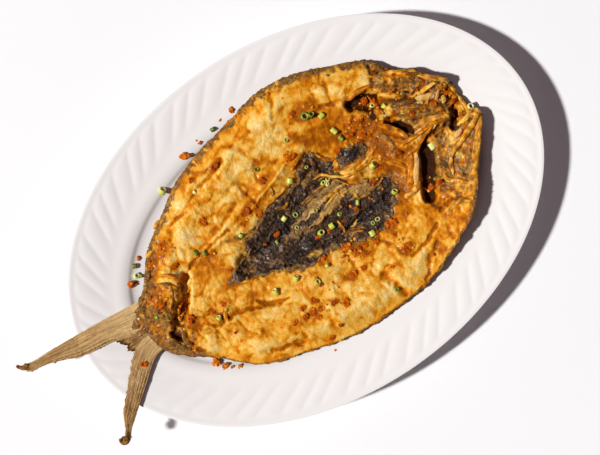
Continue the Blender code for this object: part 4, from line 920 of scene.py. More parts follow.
def island(name, x, y, keep, top, under, material, marks):
    """A closed piece over the kept cells of a level grid."""
    while True:
        # Two kept cells that meet only at a corner get a third beside them.
        one_way = keep[:-1, :-1] & keep[1:, 1:] & ~keep[1:, :-1] & ~keep[:-1, 1:]
        other_way = keep[1:, :-1] & keep[:-1, 1:] & ~keep[:-1, :-1] & ~keep[1:, 1:]
        if not (one_way.any() or other_way.any()):
            break
        keep[1:, :-1] |= one_way
        keep[:-1, :-1] |= other_way
    rows, lanes = x.shape
    used = np.zeros(x.shape, bool)
    for i, j in ((0, 0), (0, 1), (1, 0), (1, 1)):
        used[i:rows - 1 + i, j:lanes - 1 + j] |= keep
    number = np.cumsum(used.ravel()).reshape(x.shape) - 1
    count = int(used.sum())
    padded = np.pad(keep, 1)
    faces = []
    for i, j in zip(*np.nonzero(keep)):
        a, b, c, d = (int(number[p]) for p in ((i, j), (i + 1, j), (i + 1, j + 1), (i, j + 1)))
        faces += [(a, b, c, d), (a + count, d + count, c + count, b + count)]
        for free, p, q in ((not padded[i + 1, j], a, b), (not padded[i + 2, j + 1], b, c),
                           (not padded[i + 1, j + 2], c, d), (not padded[i, j + 1], d, a)):
            if free:
                faces.append((q, p, p + count, q + count))
    sides = [np.stack((x[used], y[used], level[used]), axis=-1) for level in (top, under)]
    marks = {mark: np.tile(values[used], 2) for mark, values in marks.items()}
    return new_piece(name, np.concatenate(sides), faces, material, marks)


def surface_tree(pieces):
    """One search tree over several pieces."""
    vertices = []
    polygons = []
    for piece in pieces:
        start = len(vertices)
        vertices += [v.co.copy() for v in piece.data.vertices]
        polygons += [tuple(start + k for k in p.vertices) for p in piece.data.polygons]
    return BVHTree.FromPolygons(vertices, polygons)


def height_over(tree, x, y):
    """Where a line straight down meets the pieces first."""
    hit = tree.ray_cast(Vector((x, y, 3 * PLATE_HEIGHT)), Vector((0.0, 0.0, -1.0)))[0]
    return None if hit is None else hit.z


# ------------------------------------------------------------------------- nodes
def in_use(sockets, name=None):
    """The first socket that is in use, of this name if one is given."""
    return next(s for s in sockets if s.enabled and name in (None, s.name))


class Wire:
    """An output of a node. Arithmetic on wires adds the nodes that work it out."""

    def __init__(self, nodes, socket):
        self.nodes = nodes
        self.socket = socket

    def __getitem__(self, name):
        """Another output of the same node."""
        return Wire(self.nodes, in_use(self.socket.node.outputs, name))

    def __add__(self, other):
        return self.nodes.math("ADD", self, other)

    def __sub__(self, other):
        return self.nodes.math("SUBTRACT", self, other)

    def __rsub__(self, other):
        return self.nodes.math("SUBTRACT", other, self)

    def __mul__(self, other):
        return self.nodes.math("MULTIPLY", self, other)

    def __truediv__(self, other):
        return self.nodes.math("DIVIDE", self, other)

    def __rtruediv__(self, other):
        return self.nodes.math("DIVIDE", other, self)


class Nodes:
    """Adds nodes to a tree and joins them."""

    def __init__(self, tree):
        self.tree = tree
        self.count = 0
        self.place = None

    def feed(self, socket, value):
        if isinstance(value, Wire):
            self.tree.links.new(value.socket, socket)
        else:
            socket.default_value = value

    def fill(self, node, **values):
        """Feeds a node's inputs by name; an underscore stands for a space."""
        for name, value in values.items():
            self.feed(in_use(node.inputs, name.replace("_", " ")), value)

    def add(self, kind, *values, **named):
        """A new node: values feed its inputs in turn, capitals name inputs, and the rest are settings."""
        node = self.tree.nodes.new(kind)
        node.location = (190 * (self.count % 10), -260 * (self.count // 10))
        self.count += 1
        for name in [name for name in named if name[0].islower()]:
            setattr(node, name, named.pop(name))
        for socket, value in zip(node.inputs, values):
            self.feed(socket, value)
        self.fill(node, **named)
        return Wire(self, in_use(node.outputs))

    def math(self, operation, *values, clamp=False):
        return self.add("ShaderNodeMath", *values, operation=operation, use_clamp=clamp)

    def vector(self, operation, *values, **named):
        return self.add("ShaderNodeVectorMath", *values, operation=operation, **named)

    def mix(self, share, first, second):
        return self.add("ShaderNodeMix", Factor=share, A=first, B=second, data_type="RGBA")

    def eased(self, value, low, high):
        """0 to 1 between two values, starting and ending gently."""
        return self.add("ShaderNodeMapRange", Value=value, From_Min=low, From_Max=high,
                        interpolation_type="SMOOTHSTEP")

    def ramp(self, value, *stops):
        """Greys along a value, as (place, grey), or colours, as (place, red, green, blue)."""
        wire = self.add("ShaderNodeValToRGB", value)
        band = wire.socket.node.color_ramp.elements
        while len(band) < len(stops):
            band.new(0.5)
        for element, (place, *colour) in zip(band, stops):
            element.position = place
            element.color = (*(colour * 3), 1.0) if len(colour) == 1 else paint(*colour)
        return wire

    def noise(self, size, detail=3.0, roughness=0.55, vector=None):
        """Noise whose humps are about this size, in metres."""
        return self.add("ShaderNodeTexNoise", Vector=vector or self.place, Scale=1.0 / size, Detail=detail,
                        Roughness=roughness)

    def mark(self, name):
        return self.add("ShaderNodeAttribute", attribute_name=name)["Fac"]

    def effect(self, group, **values):
        """A shared effect, placed on the object."""
        return self.add("ShaderNodeGroup", node_tree=group, Vector=self.place, **values)

    def bump(self, height, depth):
        return self.add("ShaderNodeBump", Strength=1.0, Distance=depth, Height=height)

    def crust(self, crisp, grain, bubble, bubble_depth, depth):
        return self.bump(self.effect(crisp, Grain=grain, Bubble=bubble, Bubble_Depth=bubble_depth), depth)

    def wet_spots(self, size, most):
        """Small oily spots, as a share of the coat."""
        return self.ramp(self.noise(size, 2.0), (0.52, 0.0), (0.64, most))

    def dressed(self, geometry, material):
        """Plain geometry in its material."""
        plain = self.add("GeometryNodeRealizeInstances", geometry)
        return self.add("GeometryNodeSetMaterial", Geometry=plain, Material=material)


SOCKETS = {float: "NodeSocketFloat", int: "NodeSocketInt", tuple: "NodeSocketVector",
           type(None): "NodeSocketGeometry"}


def new_group(name, kind, output, **inputs):
    """A group's nodes, its inputs (None for geometry) and the socket for its one output."""
    tree = bpy.data.node_groups.new(name, kind)
    for label, value in inputs.items():
        socket = tree.interface.new_socket(label.replace("_", " "), in_out="INPUT",
                                           socket_type=SOCKETS[type(value)])
        if value is not None:
            socket.default_value = value
    result = "NodeSocketGeometry" if kind == "GeometryNodeTree" else "NodeSocketFloat"
    tree.interface.new_socket(output, in_out="OUTPUT", socket_type=result)
    nodes = Nodes(tree)
    return nodes, nodes.add("NodeGroupInput"), tree.nodes.new("NodeGroupOutput").inputs[0]


# ---------------------------------------------------------- shared shader effects
def make_mottle():
    """Uneven tone at two sizes, centred on 0."""
    nodes, given, tone = new_group("uneven_tone", "ShaderNodeTree", "Tone",
                                   Vector=(0.0, 0.0, 0.0), Size=0.006, Depth=0.2)
    broad = nodes.noise(given["Size"], 4.0, 0.6, given["Vector"])
    fine = nodes.noise(given["Size"] * 0.22, 3.0, 0.6, given["Vector"])
    nodes.feed(tone, (broad * 1.3 + fine * 0.7 - 1.0) * given["Depth"])
    return nodes.tree


def make_crisp():
    """Height of a fried crust: fine grain with small burst bubbles."""
    nodes, given, height = new_group("fried_crust", "ShaderNodeTree", "Height", Vector=(0.0, 0.0, 0.0),
                                     Grain=0.0008, Bubble=0.0018, Bubble_Depth=0.5)
    grain = nodes.noise(given["Grain"], 4.0, 0.65, given["Vector"])
    bubble = nodes.add("ShaderNodeTexVoronoi", Vector=given["Vector"], Scale=1.0 / given["Bubble"],
                       feature="SMOOTH_F1")
    nodes.feed(height, grain + (1.0 - bubble) * given["Bubble Depth"])
    return nodes.tree


def new_material(name, **finish):
    """A material, its nodes, and its surface with these plain values."""
    material = bpy.data.materials.new(name)
    material.use_nodes = True
    nodes = Nodes(material.node_tree)
    nodes.place = nodes.add("ShaderNodeTexCoord")["Object"]
    surface = material.node_tree.nodes["Principled BSDF"]
    nodes.fill(surface, **finish)
    return material, nodes, surface


# Tones as (place, red, green, blue), from pale to dark for the flesh and the other way for the rest.
FLESH_TONES = (
    (0.00, 255, 224, 148), (0.18, 252, 208, 116), (0.36, 241, 177, 56), (0.50, 222, 132, 0),
    (0.64, 175, 96, 4), (0.78, 132, 64, 8), (0.90, 90, 34, 0), (1.00, 56, 20, 0),
)
SKIN_TONES = ((0.12, 48, 28, 12), (0.34, 98, 66, 28), (0.52, 140, 98, 44), (0.70, 184, 136, 68),
              (0.90, 224, 178, 104))
BONE_TONES = ((0.15, 150, 104, 50), (0.45, 214, 168, 104), (0.75, 246, 220, 176))
CHAR_AND_SHADE_TONES = ((0.25, 28, 9, 0), (0.75, 84, 40, 10))


def fried_material(mottle, crisp):
    """Flesh, skin, bone, and char with painted shade, each where its attribute says."""
    material, nodes, surface = new_material(
        "fried_flesh", Roughness=0.4, Coat_Roughness=0.3, Specular_IOR_Level=0.06,
        Subsurface_Weight=0.35, Subsurface_Radius=(0.0026, 0.0012, 0.0004), Subsurface_Scale=1.0)
    tone = nodes.effect(mottle, Size=0.0050, Depth=0.50)
    fleck = nodes.effect(mottle, Size=0.0018, Depth=1.0)
    toast = nodes.mark("toast")
    colour = nodes.ramp(toast + tone * (1.15 - toast), *FLESH_TONES)
    speck = fleck * 0.8 + (tone + 0.48)
    # The char_and_shade mark is painted dark for char, and as painted shade in sunken places and hollows.
    for name, tones, source in (("skin", SKIN_TONES, speck), ("bone", BONE_TONES, speck),
                                ("char_and_shade", CHAR_AND_SHADE_TONES, tone + 0.5)):
        share = nodes.eased(nodes.mark(name) + fleck * 0.55, 0.25, 0.75)
        colour = nodes.mix(share, colour, nodes.ramp(source, *tones))
    bare = 1.0 - nodes.mark("char_and_shade") * 0.9
    nodes.fill(surface, Base_Color=colour, Coat_Weight=nodes.wet_spots(0.0011, 0.7) * bare,
               Normal=nodes.crust(crisp, 0.0010, 0.0021, 0.4, 0.0007))
    return material


def lining_material(mottle, crisp):
    """The belly's black, blistered lining, with tan where it has thinned and grey painted glints."""
    material, nodes, surface = new_material("blistered_lining", Roughness=0.42, Coat_Roughness=0.32,
                                            Specular_IOR_Level=0.2)
    fleck = nodes.effect(mottle, Size=0.0022, Depth=0.9)
    black = nodes.ramp(fleck + 0.5, (0.2, 26, 13, 6), (0.5, 58, 34, 15), (0.8, 134, 96, 58))
    tan = nodes.ramp(fleck + 0.5, (0.2, 92, 56, 18), (0.5, 140, 98, 44), (0.85, 200, 156, 92))
    colour = nodes.mix(nodes.eased(nodes.mark("tan") + fleck * 0.6, 0.30, 0.85), black, tan)
    colour = nodes.mix(nodes.mark("deep"), colour, paint(28, 14, 8))
    # Painted highlight: grey specks in the colour, gathered in drifts, stand in for the lining's glints.
    painted_glint = nodes.ramp(nodes.noise(0.0010, 3.0, 0.7), (0.52, 0.0), (0.66, 0.8))
    drift = nodes.ramp(nodes.noise(0.0075, 2.0), (0.40, 0.15), (0.60, 1.0))
    colour = nodes.mix(painted_glint * drift, colour, paint(150, 134, 124))
    skin = nodes.ramp(nodes.mark("gold") + fleck * 0.5, (0.0, 84, 58, 30), (0.22, 138, 104, 56),
                      (0.45, 186, 140, 72), (0.7, 218, 166, 82), (1.0, 246, 208, 138))
    nodes.fill(surface, Base_Color=nodes.mix(nodes.mark("film"), colour, skin),
               Coat_Weight=nodes.ramp(nodes.noise(0.0050), (0.42, 0.0), (0.60, 0.5)),
               Normal=nodes.crust(crisp, 0.0007, 0.0011, 0.4, 0.0010))
    return material


def fin_material(mottle, crisp):
    """Dried fin: pale at the root, streaked along its rays, dark at the frayed tips."""
    material, nodes, surface = new_material("fin_rays", Roughness=0.42, Specular_IOR_Level=0.15)
    streak = nodes.add("ShaderNodeCombineXYZ", nodes.mark("along") * 3.0, nodes.mark("across") * 30.0)
    lines = nodes.noise(1.0, 4.0, 0.75, streak)
    tone = nodes.mark("fin_tone") + nodes.effect(mottle, Size=0.0035, Depth=0.3)
    colour = nodes.ramp(tone + (lines - 0.5) * 2.4, (0.0, 240, 208, 148), (0.25, 216, 176, 118),
                        (0.5, 188, 144, 88), (0.72, 142, 98, 46), (0.9, 96, 58, 18), (1.0, 60, 36, 10))
    height = nodes.effect(crisp, Grain=0.0009, Bubble=0.002, Bubble_Depth=0.2) + lines * 1.6
    nodes.fill(surface, Base_Color=colour, Normal=nodes.bump(height, 0.0004))
    return material


def onion_material(mottle):
    """Cut spring onion: green outside, cream to lime within."""
    material, nodes, surface = new_material(
        "spring_onion", Roughness=0.34, Coat_Weight=0.2, Coat_Roughness=0.2,
        Subsurface_Weight=0.3, Subsurface_Radius=(0.0012, 0.0016, 0.0005), Subsurface_Scale=1.0)
    tone = nodes.mark("tone") + nodes.effect(mottle, Size=0.0012, Depth=0.5)
    rind = nodes.ramp(tone, (0.0, 236, 226, 150), (0.3, 206, 212, 78), (0.6, 172, 182, 50),
                      (0.85, 118, 134, 30), (1.0, 80, 98, 20))
    inner = nodes.ramp(tone, (0.0, 252, 240, 205), (0.4, 232, 226, 136), (0.8, 172, 176, 70),
                       (1.0, 132, 138, 50))
    nodes.fill(surface, Base_Color=nodes.mix(nodes.mark("rind"), inner, rind),
               Normal=nodes.bump(nodes.noise(0.0008), 0.0002))
    return material


def garlic_material(mottle, crisp):
    """Chopped garlic fried to orange-brown."""
    material, nodes, surface = new_material("fried_garlic", Roughness=0.34, Coat_Roughness=0.1,
                                            Specular_IOR_Level=0.08)
    tone = nodes.mark("tone") + nodes.effect(mottle, Size=0.0024, Depth=0.9)
    colour = nodes.ramp(tone, (0.0, 248, 182, 70), (0.22, 230, 136, 20), (0.45, 196, 90, 0),
                        (0.7, 154, 58, 0), (1.0, 92, 28, 0))
    nodes.fill(surface, Base_Color=colour, Coat_Weight=nodes.wet_spots(0.0014, 0.35),
               Normal=nodes.crust(crisp, 0.0009, 0.0014, 0.5, 0.0006))
    return material


def glaze_material(mottle):
    """White tableware glaze, with the faintest unevenness."""
    material, nodes, surface = new_material("white_glaze", Coat_Weight=0.5, Coat_Roughness=0.06)
    drift = nodes.effect(mottle, Size=0.05, Depth=0.06)
    nodes.fill(surface, Base_Color=nodes.ramp(drift + 0.5, (0.40, 245, 241, 237), (0.60, 250, 247, 244)),
               Roughness=nodes.ramp(nodes.noise(0.03), (0.3, 0.13), (0.7, 0.22)),
               Normal=nodes.bump(nodes.noise(0.012, 1.0), 0.00006))
    return material


def floor_material():
    material, nodes, surface = new_material("pale_floor", Roughness=0.9)
    tone = nodes.noise(0.4, 2.0)
    nodes.fill(surface, Base_Color=nodes.ramp(tone, (0.3, 250, 250, 250), (0.7, 253, 253, 253)))
    return material


# ----------------------------------------------------------------------- platter
def platter_tree(material):
    """Wraps a profile line (x: inset, y: 1 where fluted, z: height) round an ellipse."""
    nodes, given, result = new_group(
        "fluted_platter", "GeometryNodeTree", "Geometry", Profile=None, Half_Length=PLATE_LENGTH / 2,
        Half_Width=PLATE_WIDTH / 2, Columns=PLATE_COLUMNS, Flute_Groups=FLUTE_GROUPS,
        Flute_Height=FLUTE_HEIGHT, Flute_Start=FLUTE_START, Flute_End=FLUTE_END,
        Sweep=SWEEP_AT_EDGE, Sweep_Gain=SWEEP_GAIN)
    # The outer edge, clockwise from the tail end.
    circle = nodes.add("GeometryNodeCurvePrimitiveCircle", Resolution=EDGE_STEPS, Radius=1.0)
    shape = nodes.add("ShaderNodeCombineXYZ", given["Half Length"] * -1.0, given["Half Width"], 1.0)
    edge = nodes.add("GeometryNodeTransform", Geometry=circle, Scale=shape)
    # A grid with a column for each place on the edge and a row for each profile point.
    count = nodes.add("GeometryNodeAttributeDomainSize", given["Profile"])
    grid = nodes.add("GeometryNodeMeshGrid", 1.0, 1.0, given["Columns"] + 1.0, count)
    position = nodes.add("GeometryNodeInputPosition")
    split = nodes.add("ShaderNodeSeparateXYZ", position)
    along = nodes.math("ADD", split["X"], 0.5, clamp=True)
    index = nodes.math("ROUND", (split["Y"] + 0.5) * (count - 1.0))
    read = nodes.add("GeometryNodeSampleIndex", Geometry=given["Profile"], Value=position, Index=index,
                     data_type="FLOAT_VECTOR")
    point = nodes.add("ShaderNodeSeparateXYZ", read)
    inset = point["X"]
    spot = nodes.add("GeometryNodeSampleCurve", Curves=edge, Factor=along, mode="FACTOR")
    heading = nodes.add("ShaderNodeSeparateXYZ", spot["Tangent"])
    inward = nodes.add("ShaderNodeCombineXYZ", heading["Y"], heading["X"] * -1.0)
    # The flutes: three unequal widths to a group, swinging round as they run inward.
    length = nodes.add("GeometryNodeCurveLength", edge)
    run = nodes.math("MINIMUM", inset, given["Flute End"])
    sweep = run * given["Sweep"] + run * run * (given["Sweep Gain"] * 0.5) / given["Flute End"]
    group = nodes.math("FRACT", (along * length + sweep) * given["Flute Groups"] / length)
    phase = 0.0
    start = 0.0
    for width in FLUTE_WIDTHS:
        phase = nodes.math("DIVIDE", group - start, width, clamp=True) + phase
        start += width
    wave = nodes.math("ABSOLUTE", nodes.math("SINE", phase * math.pi))
    crest = nodes.math("POWER", wave, FLUTE_SHARPNESS) - 0.5
    inside = (inset - given["Flute Start"]) / (given["Flute End"] - given["Flute Start"])
    fade = nodes.eased(inside, 0.0, FLUTE_RISE) * nodes.eased(inside, 1.0, FLUTE_FALL) * point["Y"]
    height = point["Z"] + crest * given["Flute Height"] * fade
    level = nodes.vector("ADD", spot["Position"], nodes.vector("SCALE", inward, Scale=inset))
    place = nodes.vector("ADD", level, nodes.add("ShaderNodeCombineXYZ", Z=height))
    wrapped = nodes.add("GeometryNodeSetPosition", Geometry=grid, Position=place)
    joined = nodes.add("GeometryNodeMergeByDistance", Geometry=wrapped, Distance=SEAM_GAP)
    nodes.feed(result, nodes.dressed(joined, material))
    return nodes.tree


def from_tree(name, mesh, tree):
    """Runs a geometry tree on a mesh and keeps its result as a plain mesh."""
    piece = bpy.data.objects.new(name, mesh)
    bpy.context.scene.collection.objects.link(piece)
    piece.modifiers.new(name, "NODES").node_group = tree
    graph = bpy.context.evaluated_depsgraph_get()
    piece.data = bpy.data.meshes.new_from_object(piece.evaluated_get(graph))
    piece.modifiers.clear()
    piece.data.shade_smooth()
    return piece


def profile_points():
    """The platter's section, closely spaced: inset, 1 where fluted, height."""
    points = []
    for rows, fluted, per_step in ((PLATE_TOP, 1.0, 6), (PLATE_UNDER, 0.0, 4)):
        section = np.array(rows)
        knots = run_along(section)
        where = [np.linspace(a, b, per_step, endpoint=False) for a, b in zip(knots, knots[1:])]
        where = np.concatenate(where + [[knots[-1]]])
        smooth = np.stack([through(where, knots, side) for side in section.T], axis=-1)
        straight = np.stack([np.interp(where, knots, side) for side in section.T], axis=-1)
        section = smooth if fluted else 0.4 * smooth + 0.6 * straight
        points = points[::-1] + [(inset, fluted, max(height, 0.0)) for inset, height in section]
    return points


def make_platter(material):
    points = profile_points()
    line = bpy.data.meshes.new("platter_profile")
    line.from_pydata(points, [(i, i + 1) for i in range(len(points) - 1)], [])
    return face_outwards(from_tree("platter", line, platter_tree(material)), close=True)


# -------------------------------------------------------------------------- fish
def body_side(x, side):
    """The outline's y on one side. Both sides close round at the body's ends."""
    middle = (TAIL_END + HEAD_END) / 2
    half = (HEAD_END - TAIL_END) / 2

    def turn(place):
        return np.arccos(np.clip((middle - np.asarray(place)) / half, -1.0, 1.0))

    knot_x, knot_y = zip(*side)
    return through(turn(x), turn(knot_x), knot_y)


def nearest_gap(x, y, points):
    gap = np.full(x.shape, np.inf)
    for point_x, point_y in points:
        gap = np.minimum(gap, (x - point_x) ** 2 + (y - point_y) ** 2)
    return np.sqrt(gap)


def outline_points():
    spread = np.linspace(0.0, math.pi, OUTLINE_STEPS)
    xs = (TAIL_END + HEAD_END) / 2 - (HEAD_END - TAIL_END) / 2 * np.cos(spread)
    return [(x, y) for side in (FAR_SIDE, NEAR_SIDE) for x, y in zip(xs, body_side(xs, side))]


def plate_top(x, y):
    """Height of the platter's top without its flutes."""
    turn = np.linspace(0.0, 2 * math.pi, WALL_STEPS, endpoint=False)
    edge = zip(PLATE_LENGTH / 2 * np.cos(turn), PLATE_WIDTH / 2 * np.sin(turn))
    outside = (2 * x / PLATE_LENGTH) ** 2 + (2 * y / PLATE_WIDTH) ** 2 > 1.0
    gap = nearest_gap(x, y, edge)
    return np.interp(np.where(outside, -gap, gap), *zip(*PLATE_TOP))


def fish_underside(x, y):
    """The skin side: flat on the platter's floor, curling up with its rim."""
    share = np.hypot(x / BOWL_REACH[0], y / BOWL_REACH[1])
    bowl = np.maximum(share - BOWL_FLAT, 0.0) / (1.0 - BOWL_FLAT)
    resting = FLOOR_HEIGHT + TOUCH_GAP + BOWL_RISE * bowl ** 2
    wall = plate_top(x, y)
    clear = wall + RIM_CLEARANCE * ease(share / CLEARANCE_START)
    curl = np.interp(np.degrees(np.arctan2(y, x)), *zip(*CURL)) * ease((share - CURL_START) / CURL_RUN)
    return np.maximum(np.maximum(resting, clear) + curl, wall + LEAST_CLEARANCE)


def held_back(values, limit):
    """Values eased off above a limit."""
    return np.where(values > limit, limit + HOLD_GAIN * (values - limit), values)


def bent(x, y):
    """The same points, moved in slow waves, for the puffed lobes and their browning."""
    return x + MM * ripple(x, y, (3, 13, 31)), y + MM * ripple(x, y, (3, 13, 32))


def fried_relief(x, y):
    """Puffed lobes of fried flesh with soft creases between them, and finer crags."""
    bent_x, bent_y = bent(x, y)
    puff = np.abs(ripple(bent_x, bent_y, (0.95, 12, 33))) + np.abs(ripple(bent_x, bent_y, (0.62, 5.5, 34)))
    puff += np.abs(ripple(x, y, (0.30, 2.8, 35)))
    crag = ripple(x, y, (0.42, 9, 41), (0.12, 4.2, 42), (0.05, 2.4, 43), (0.08, 1.6, 45))
    return MM * (puff + crag + ripple(x / 0.5, y / 1.8, (0.06, 3.2, 44)) - 0.58)


def lobe_browning(x, y):
    """Browning in broad drifts, and in the soft creases a darker tone that is browning with painted shade."""
    bent_x, bent_y = bent(x, y)
    crease_shade = ease(1.0 - np.abs(ripple(bent_x, bent_y, (1, 12, 33))) / 0.20)
    drift = ease(0.5 + ripple(x, y, (0.9, 17, 51)))
    fleck = ease((ripple(x, y, (1, 5.2, 52)) - 0.10) / 0.6)
    warm = ease((ripple(bent_x, bent_y, (1, 10, 50)) + 0.1) / 0.7)
    fine = ripple(bent_x, bent_y, (0.05, 3.6, 53))
    # The crease term darkens the low creases of the puffed lobes: painted shade as well as browning.
    return 0.16 * drift * crease_shade + 0.08 * fleck + 0.09 * warm + fine - 0.04


def snout_ridges(x, y):
    """Thin ridges of the crisp head that run together at its snout."""
    reach = np.hypot(x - SNOUT[0], y - SNOUT[1])
    turn = MM * (38 * np.arctan2(y - SNOUT[1], SNOUT[0] - x) + ripple(x, y, (1.2, 9, 63)))
    ridges = ridged(turn, reach / 3.4, (0.5, 4.6, 64)) + ridged(turn, reach / 2.0, (0.25, 2.6, 65))
    crust = ridged(x, y, (0.9, 6.5, 89), (0.5, 3.0, 88)) + ripple(x, y, (0.35, 2.0, 66))
    return MM * (ridges + crust - 1.25)


def crusty_crags(x, y):
    """Rough crust of the tail stock."""
    return MM * (ridged(x, y, (0.8, 5.5, 67), (0.5, 2.8, 68)) + ripple(x, y, (0.25, 1.7, 69)) - 0.6)


def lining_depth(x, y, outlines):
    """How far inside the dark lining a point lies; below 0 outside it."""
    wave_x, wave_y = frayed(x, y, LINING_FRAY)
    depth = np.max([outline_depth(wave_x, wave_y, outline) for outline in outlines], axis=0)
    return depth + MM * ripple(x, y, (0.5, 1.7, 78), (0.9, 3.1, 80))


def crisp_zones(x, y):
    """Where the crisp head and the tail stock are, 0 to 1."""
    head = ease((x + MM * ripple(x, y, (6, 17, 48)) - HEAD_START) / (10 * MM))
    stock = ease((STOCK_START - x - MM * ripple(x, y, (5, 14, 49))) / (8 * MM))
    return head, stock


def flesh(x, y, fine=True):
    """The cut side: its height, and how toasted, skinned, bony, charred or dark with painted shade each point
    is.
    """
    under = fish_underside(x, y)
    gap = nearest_gap(x, y, OUTLINE)
    full = ease(gap / FILLET_RUN)
    fillet = through(x, *zip(*FILLET_THICKNESS))
    thickness = EDGE_THICKNESS + (fillet - EDGE_THICKNESS) * full
    wave_x, wave_y = frayed(x, y, FLESH_FRAY)

    def brushed(path, softness):
        return brush(wave_x, wave_y, path, softness)

    lumps = [noise.noise(Vector((a / LUMP_SIZE, b / LUMP_SIZE, 0.0))) for a, b in zip(x.ravel(), y.ravel())]
    form = LUMP_HEIGHT * np.array(lumps).reshape(x.shape) * full
    for height, softness, path in FORMS:
        form += height * MM * brushed(path, softness)
    toast = FLESH_TOAST + ripple(x, y, (0.12, 24, 5), (0.12, 9, 6))
    uneven = 0.30 + ripple(x, y, (0.36, 5, 60))
    # Sunken creases brown and raised ridges pale: browning with painted shade and highlight.
    for height, browning, softness, path in CREASES:
        amount = brushed(path, softness)
        form += 0.7 * height * MM * amount
        toast += browning * uneven * amount
    for browning, softness, path in ZONES:
        toast += browning * brushed(path, softness)
    for spot_x, spot_y, radius, browning in TOASTED:
        amount = brushed(((spot_x, spot_y, radius), (spot_x + .01, spot_y, radius)), 0.55)
        form += 0.35 * MM * amount
        toast += 0.8 * browning * amount
    skin = painted(wave_x, wave_y, SKIN)
    band = np.interp(x, *zip(*EDGE_BAND)) * np.where(y > 0, 1.0, 0.36)
    band *= 1 + ripple(x, y, (0.5, 6, 46), (0.65, 2.6, 47))
    skin = np.maximum(skin, 0.85 * ease(0.5 + (band - gap) / (1.1 * MM)))
    # Char paint, which in the sunken cavities is also painted shade.
    marks = {"char_and_shade": painted(wave_x, wave_y, CHAR_AND_SHADE), "bone": painted(wave_x, wave_y, BONE)}
    if fine:
        head, stock = crisp_zones(x, y)
        marks["crisp"] = np.maximum(head, stock)
        rough = painted(wave_x, wave_y, CRUSTY)
        form += fried_relief(x, y) * (0.35 + 0.65 * full)
        form += head * snout_ridges(x, y) * ease(0.75 + y / (30 * MM))
        form += np.maximum(stock, rough) * crusty_crags(x, y)
        form += head * 0.7 * MM * (ridged(x, y, (1, 5, 91), (0.5, 2.4, 92)) - 0.9)
        toast += lobe_browning(x, y) + rough * (0.06 + ripple(x, y, (0.12, 3, 55)))
        toast += head * (0.20 + ripple(x, y, (0.18, 6, 54))) + stock * (0.26 + ripple(x, y, (0.07, 3, 55)))
        patches = 0.52 + ripple(wave_x, wave_y, (0.42, 7, 56), (0.28, 2.8, 58))
        fibres = 0.54 + ripple(x, y, (0.26, 6, 56)) + ripple(x / 1.4, y, (0.20, 2.2, 58))
        patches = np.maximum(head * patches, stock * fibres) * (1 - painted(wave_x, wave_y, BARE))
        skin = np.maximum(skin * (0.85 + ripple(x, y, (0.5, 4, 59))), patches)
        # Where the flesh meets the lining, falling to nothing a few millimetres out.
        depth = lining_depth(x, y, LININGS)
        border = ease(1.0 + depth / (3.6 * MM)) * ease(1.5 - depth / (2 * MM))
        toast += 0.10 * border
        skin = np.maximum(skin, border * (0.42 + ripple(x, y, (0.7, 2.6, 57))))
        for height, softness, tone, path in SHEETS:
            sheet = brushed(path, softness)
            form += height * MM * sheet
            skin = np.maximum(skin * (1 - 0.6 * sheet), tone * sheet)
    marks["skin"] = skin
    marks["toast"] = held_back(toast + 0.10 * ease(1.0 - gap / (9 * MM)), 0.60)
    shape = np.maximum(thickness + form, LEAST_THICKNESS)
    rounding = np.sqrt(np.clip(gap / EDGE_ROUND, 0.0, 1.0))
    return under + shape * (0.30 + 0.70 * rounding), under, marks


def blurred(values, reach):
    """The mean over a square of points round each one."""
    padded = np.pad(values, reach, mode="edge")
    width = 2 * reach + 1
    for axis in (0, 1):
        total = np.cumsum(padded, axis=axis)
        total = np.concatenate((np.zeros_like(np.take(total, [0], axis)), total), axis=axis)
        count = total.shape[axis]
        total = np.take(total, range(width, count), axis) - np.take(total, range(count - width), axis)
        padded = total / width
    return padded


def make_body(material):
    along = np.linspace(0.0, 1.0, STATIONS + 1)
    spread = -0.2 * np.cos(math.pi * along) + 0.8 * (2.0 * along - 1.0)
    x = (TAIL_END + HEAD_END) / 2 + (HEAD_END - TAIL_END) / 2 * spread
    x[0] += END_INSET
    x[-1] -= END_INSET
    far, near = (body_side(x, side) + MM * ripple(x, x * 0 + lane, (0.8, 7, 61), (0.6, 2.4, 62))
                 for side, lane in ((FAR_SIDE, 0.3), (NEAR_SIDE, 0.7)))
    across = np.linspace(0.0, 1.0, LANES + 1)
    grid_x = np.repeat(x[:, None], LANES + 1, axis=1)
    grid_y = near[:, None] + (far - near)[:, None] * across[None, :]
    for notch_x, notch_y, reach_x, reach_y, shift in NOTCHES:
        away = np.hypot((grid_x - notch_x * MM) / reach_x, (grid_y - notch_y * MM) / reach_y) / MM
        grid_x = grid_x + shift * MM * ease(1.3 - away)
    top, under, marks = flesh(grid_x, grid_y)
    # Painted shade and highlight: the toast is darker in the hollows of the relief and paler on its crests,
    # and the crisp head and tail stock are painted dark in their hollows.
    hollow_shade = 0.6 * (blurred(top, 3) - top) / (0.45 * MM) + 0.5 * (blurred(top, 8) - top) / (1.1 * MM)
    marks["toast"] = held_back(marks["toast"] + 0.15 * np.clip(hollow_shade, -1.2, 1.2), 0.64)
    head_hollow_shade = marks.pop("crisp") * np.clip(hollow_shade - 0.1, 0.0, 1.0)
    marks["char_and_shade"] = np.maximum(marks["char_and_shade"], 0.62 * head_hollow_shade)
    inside = ease(lining_depth(grid_x, grid_y, LININGS) / (2.0 * MM))
    top = np.maximum(top - LINING_SINK * inside, under + 0.8 * MM)
    marks = {name: (values, np.full(top.shape, UNDERSIDE[name])) for name, values in marks.items()}
    sides = [np.stack((grid_x, grid_y, level), axis=-1) for level in (top, under)]
    return closed_slab("fish_body", *sides, material, marks)


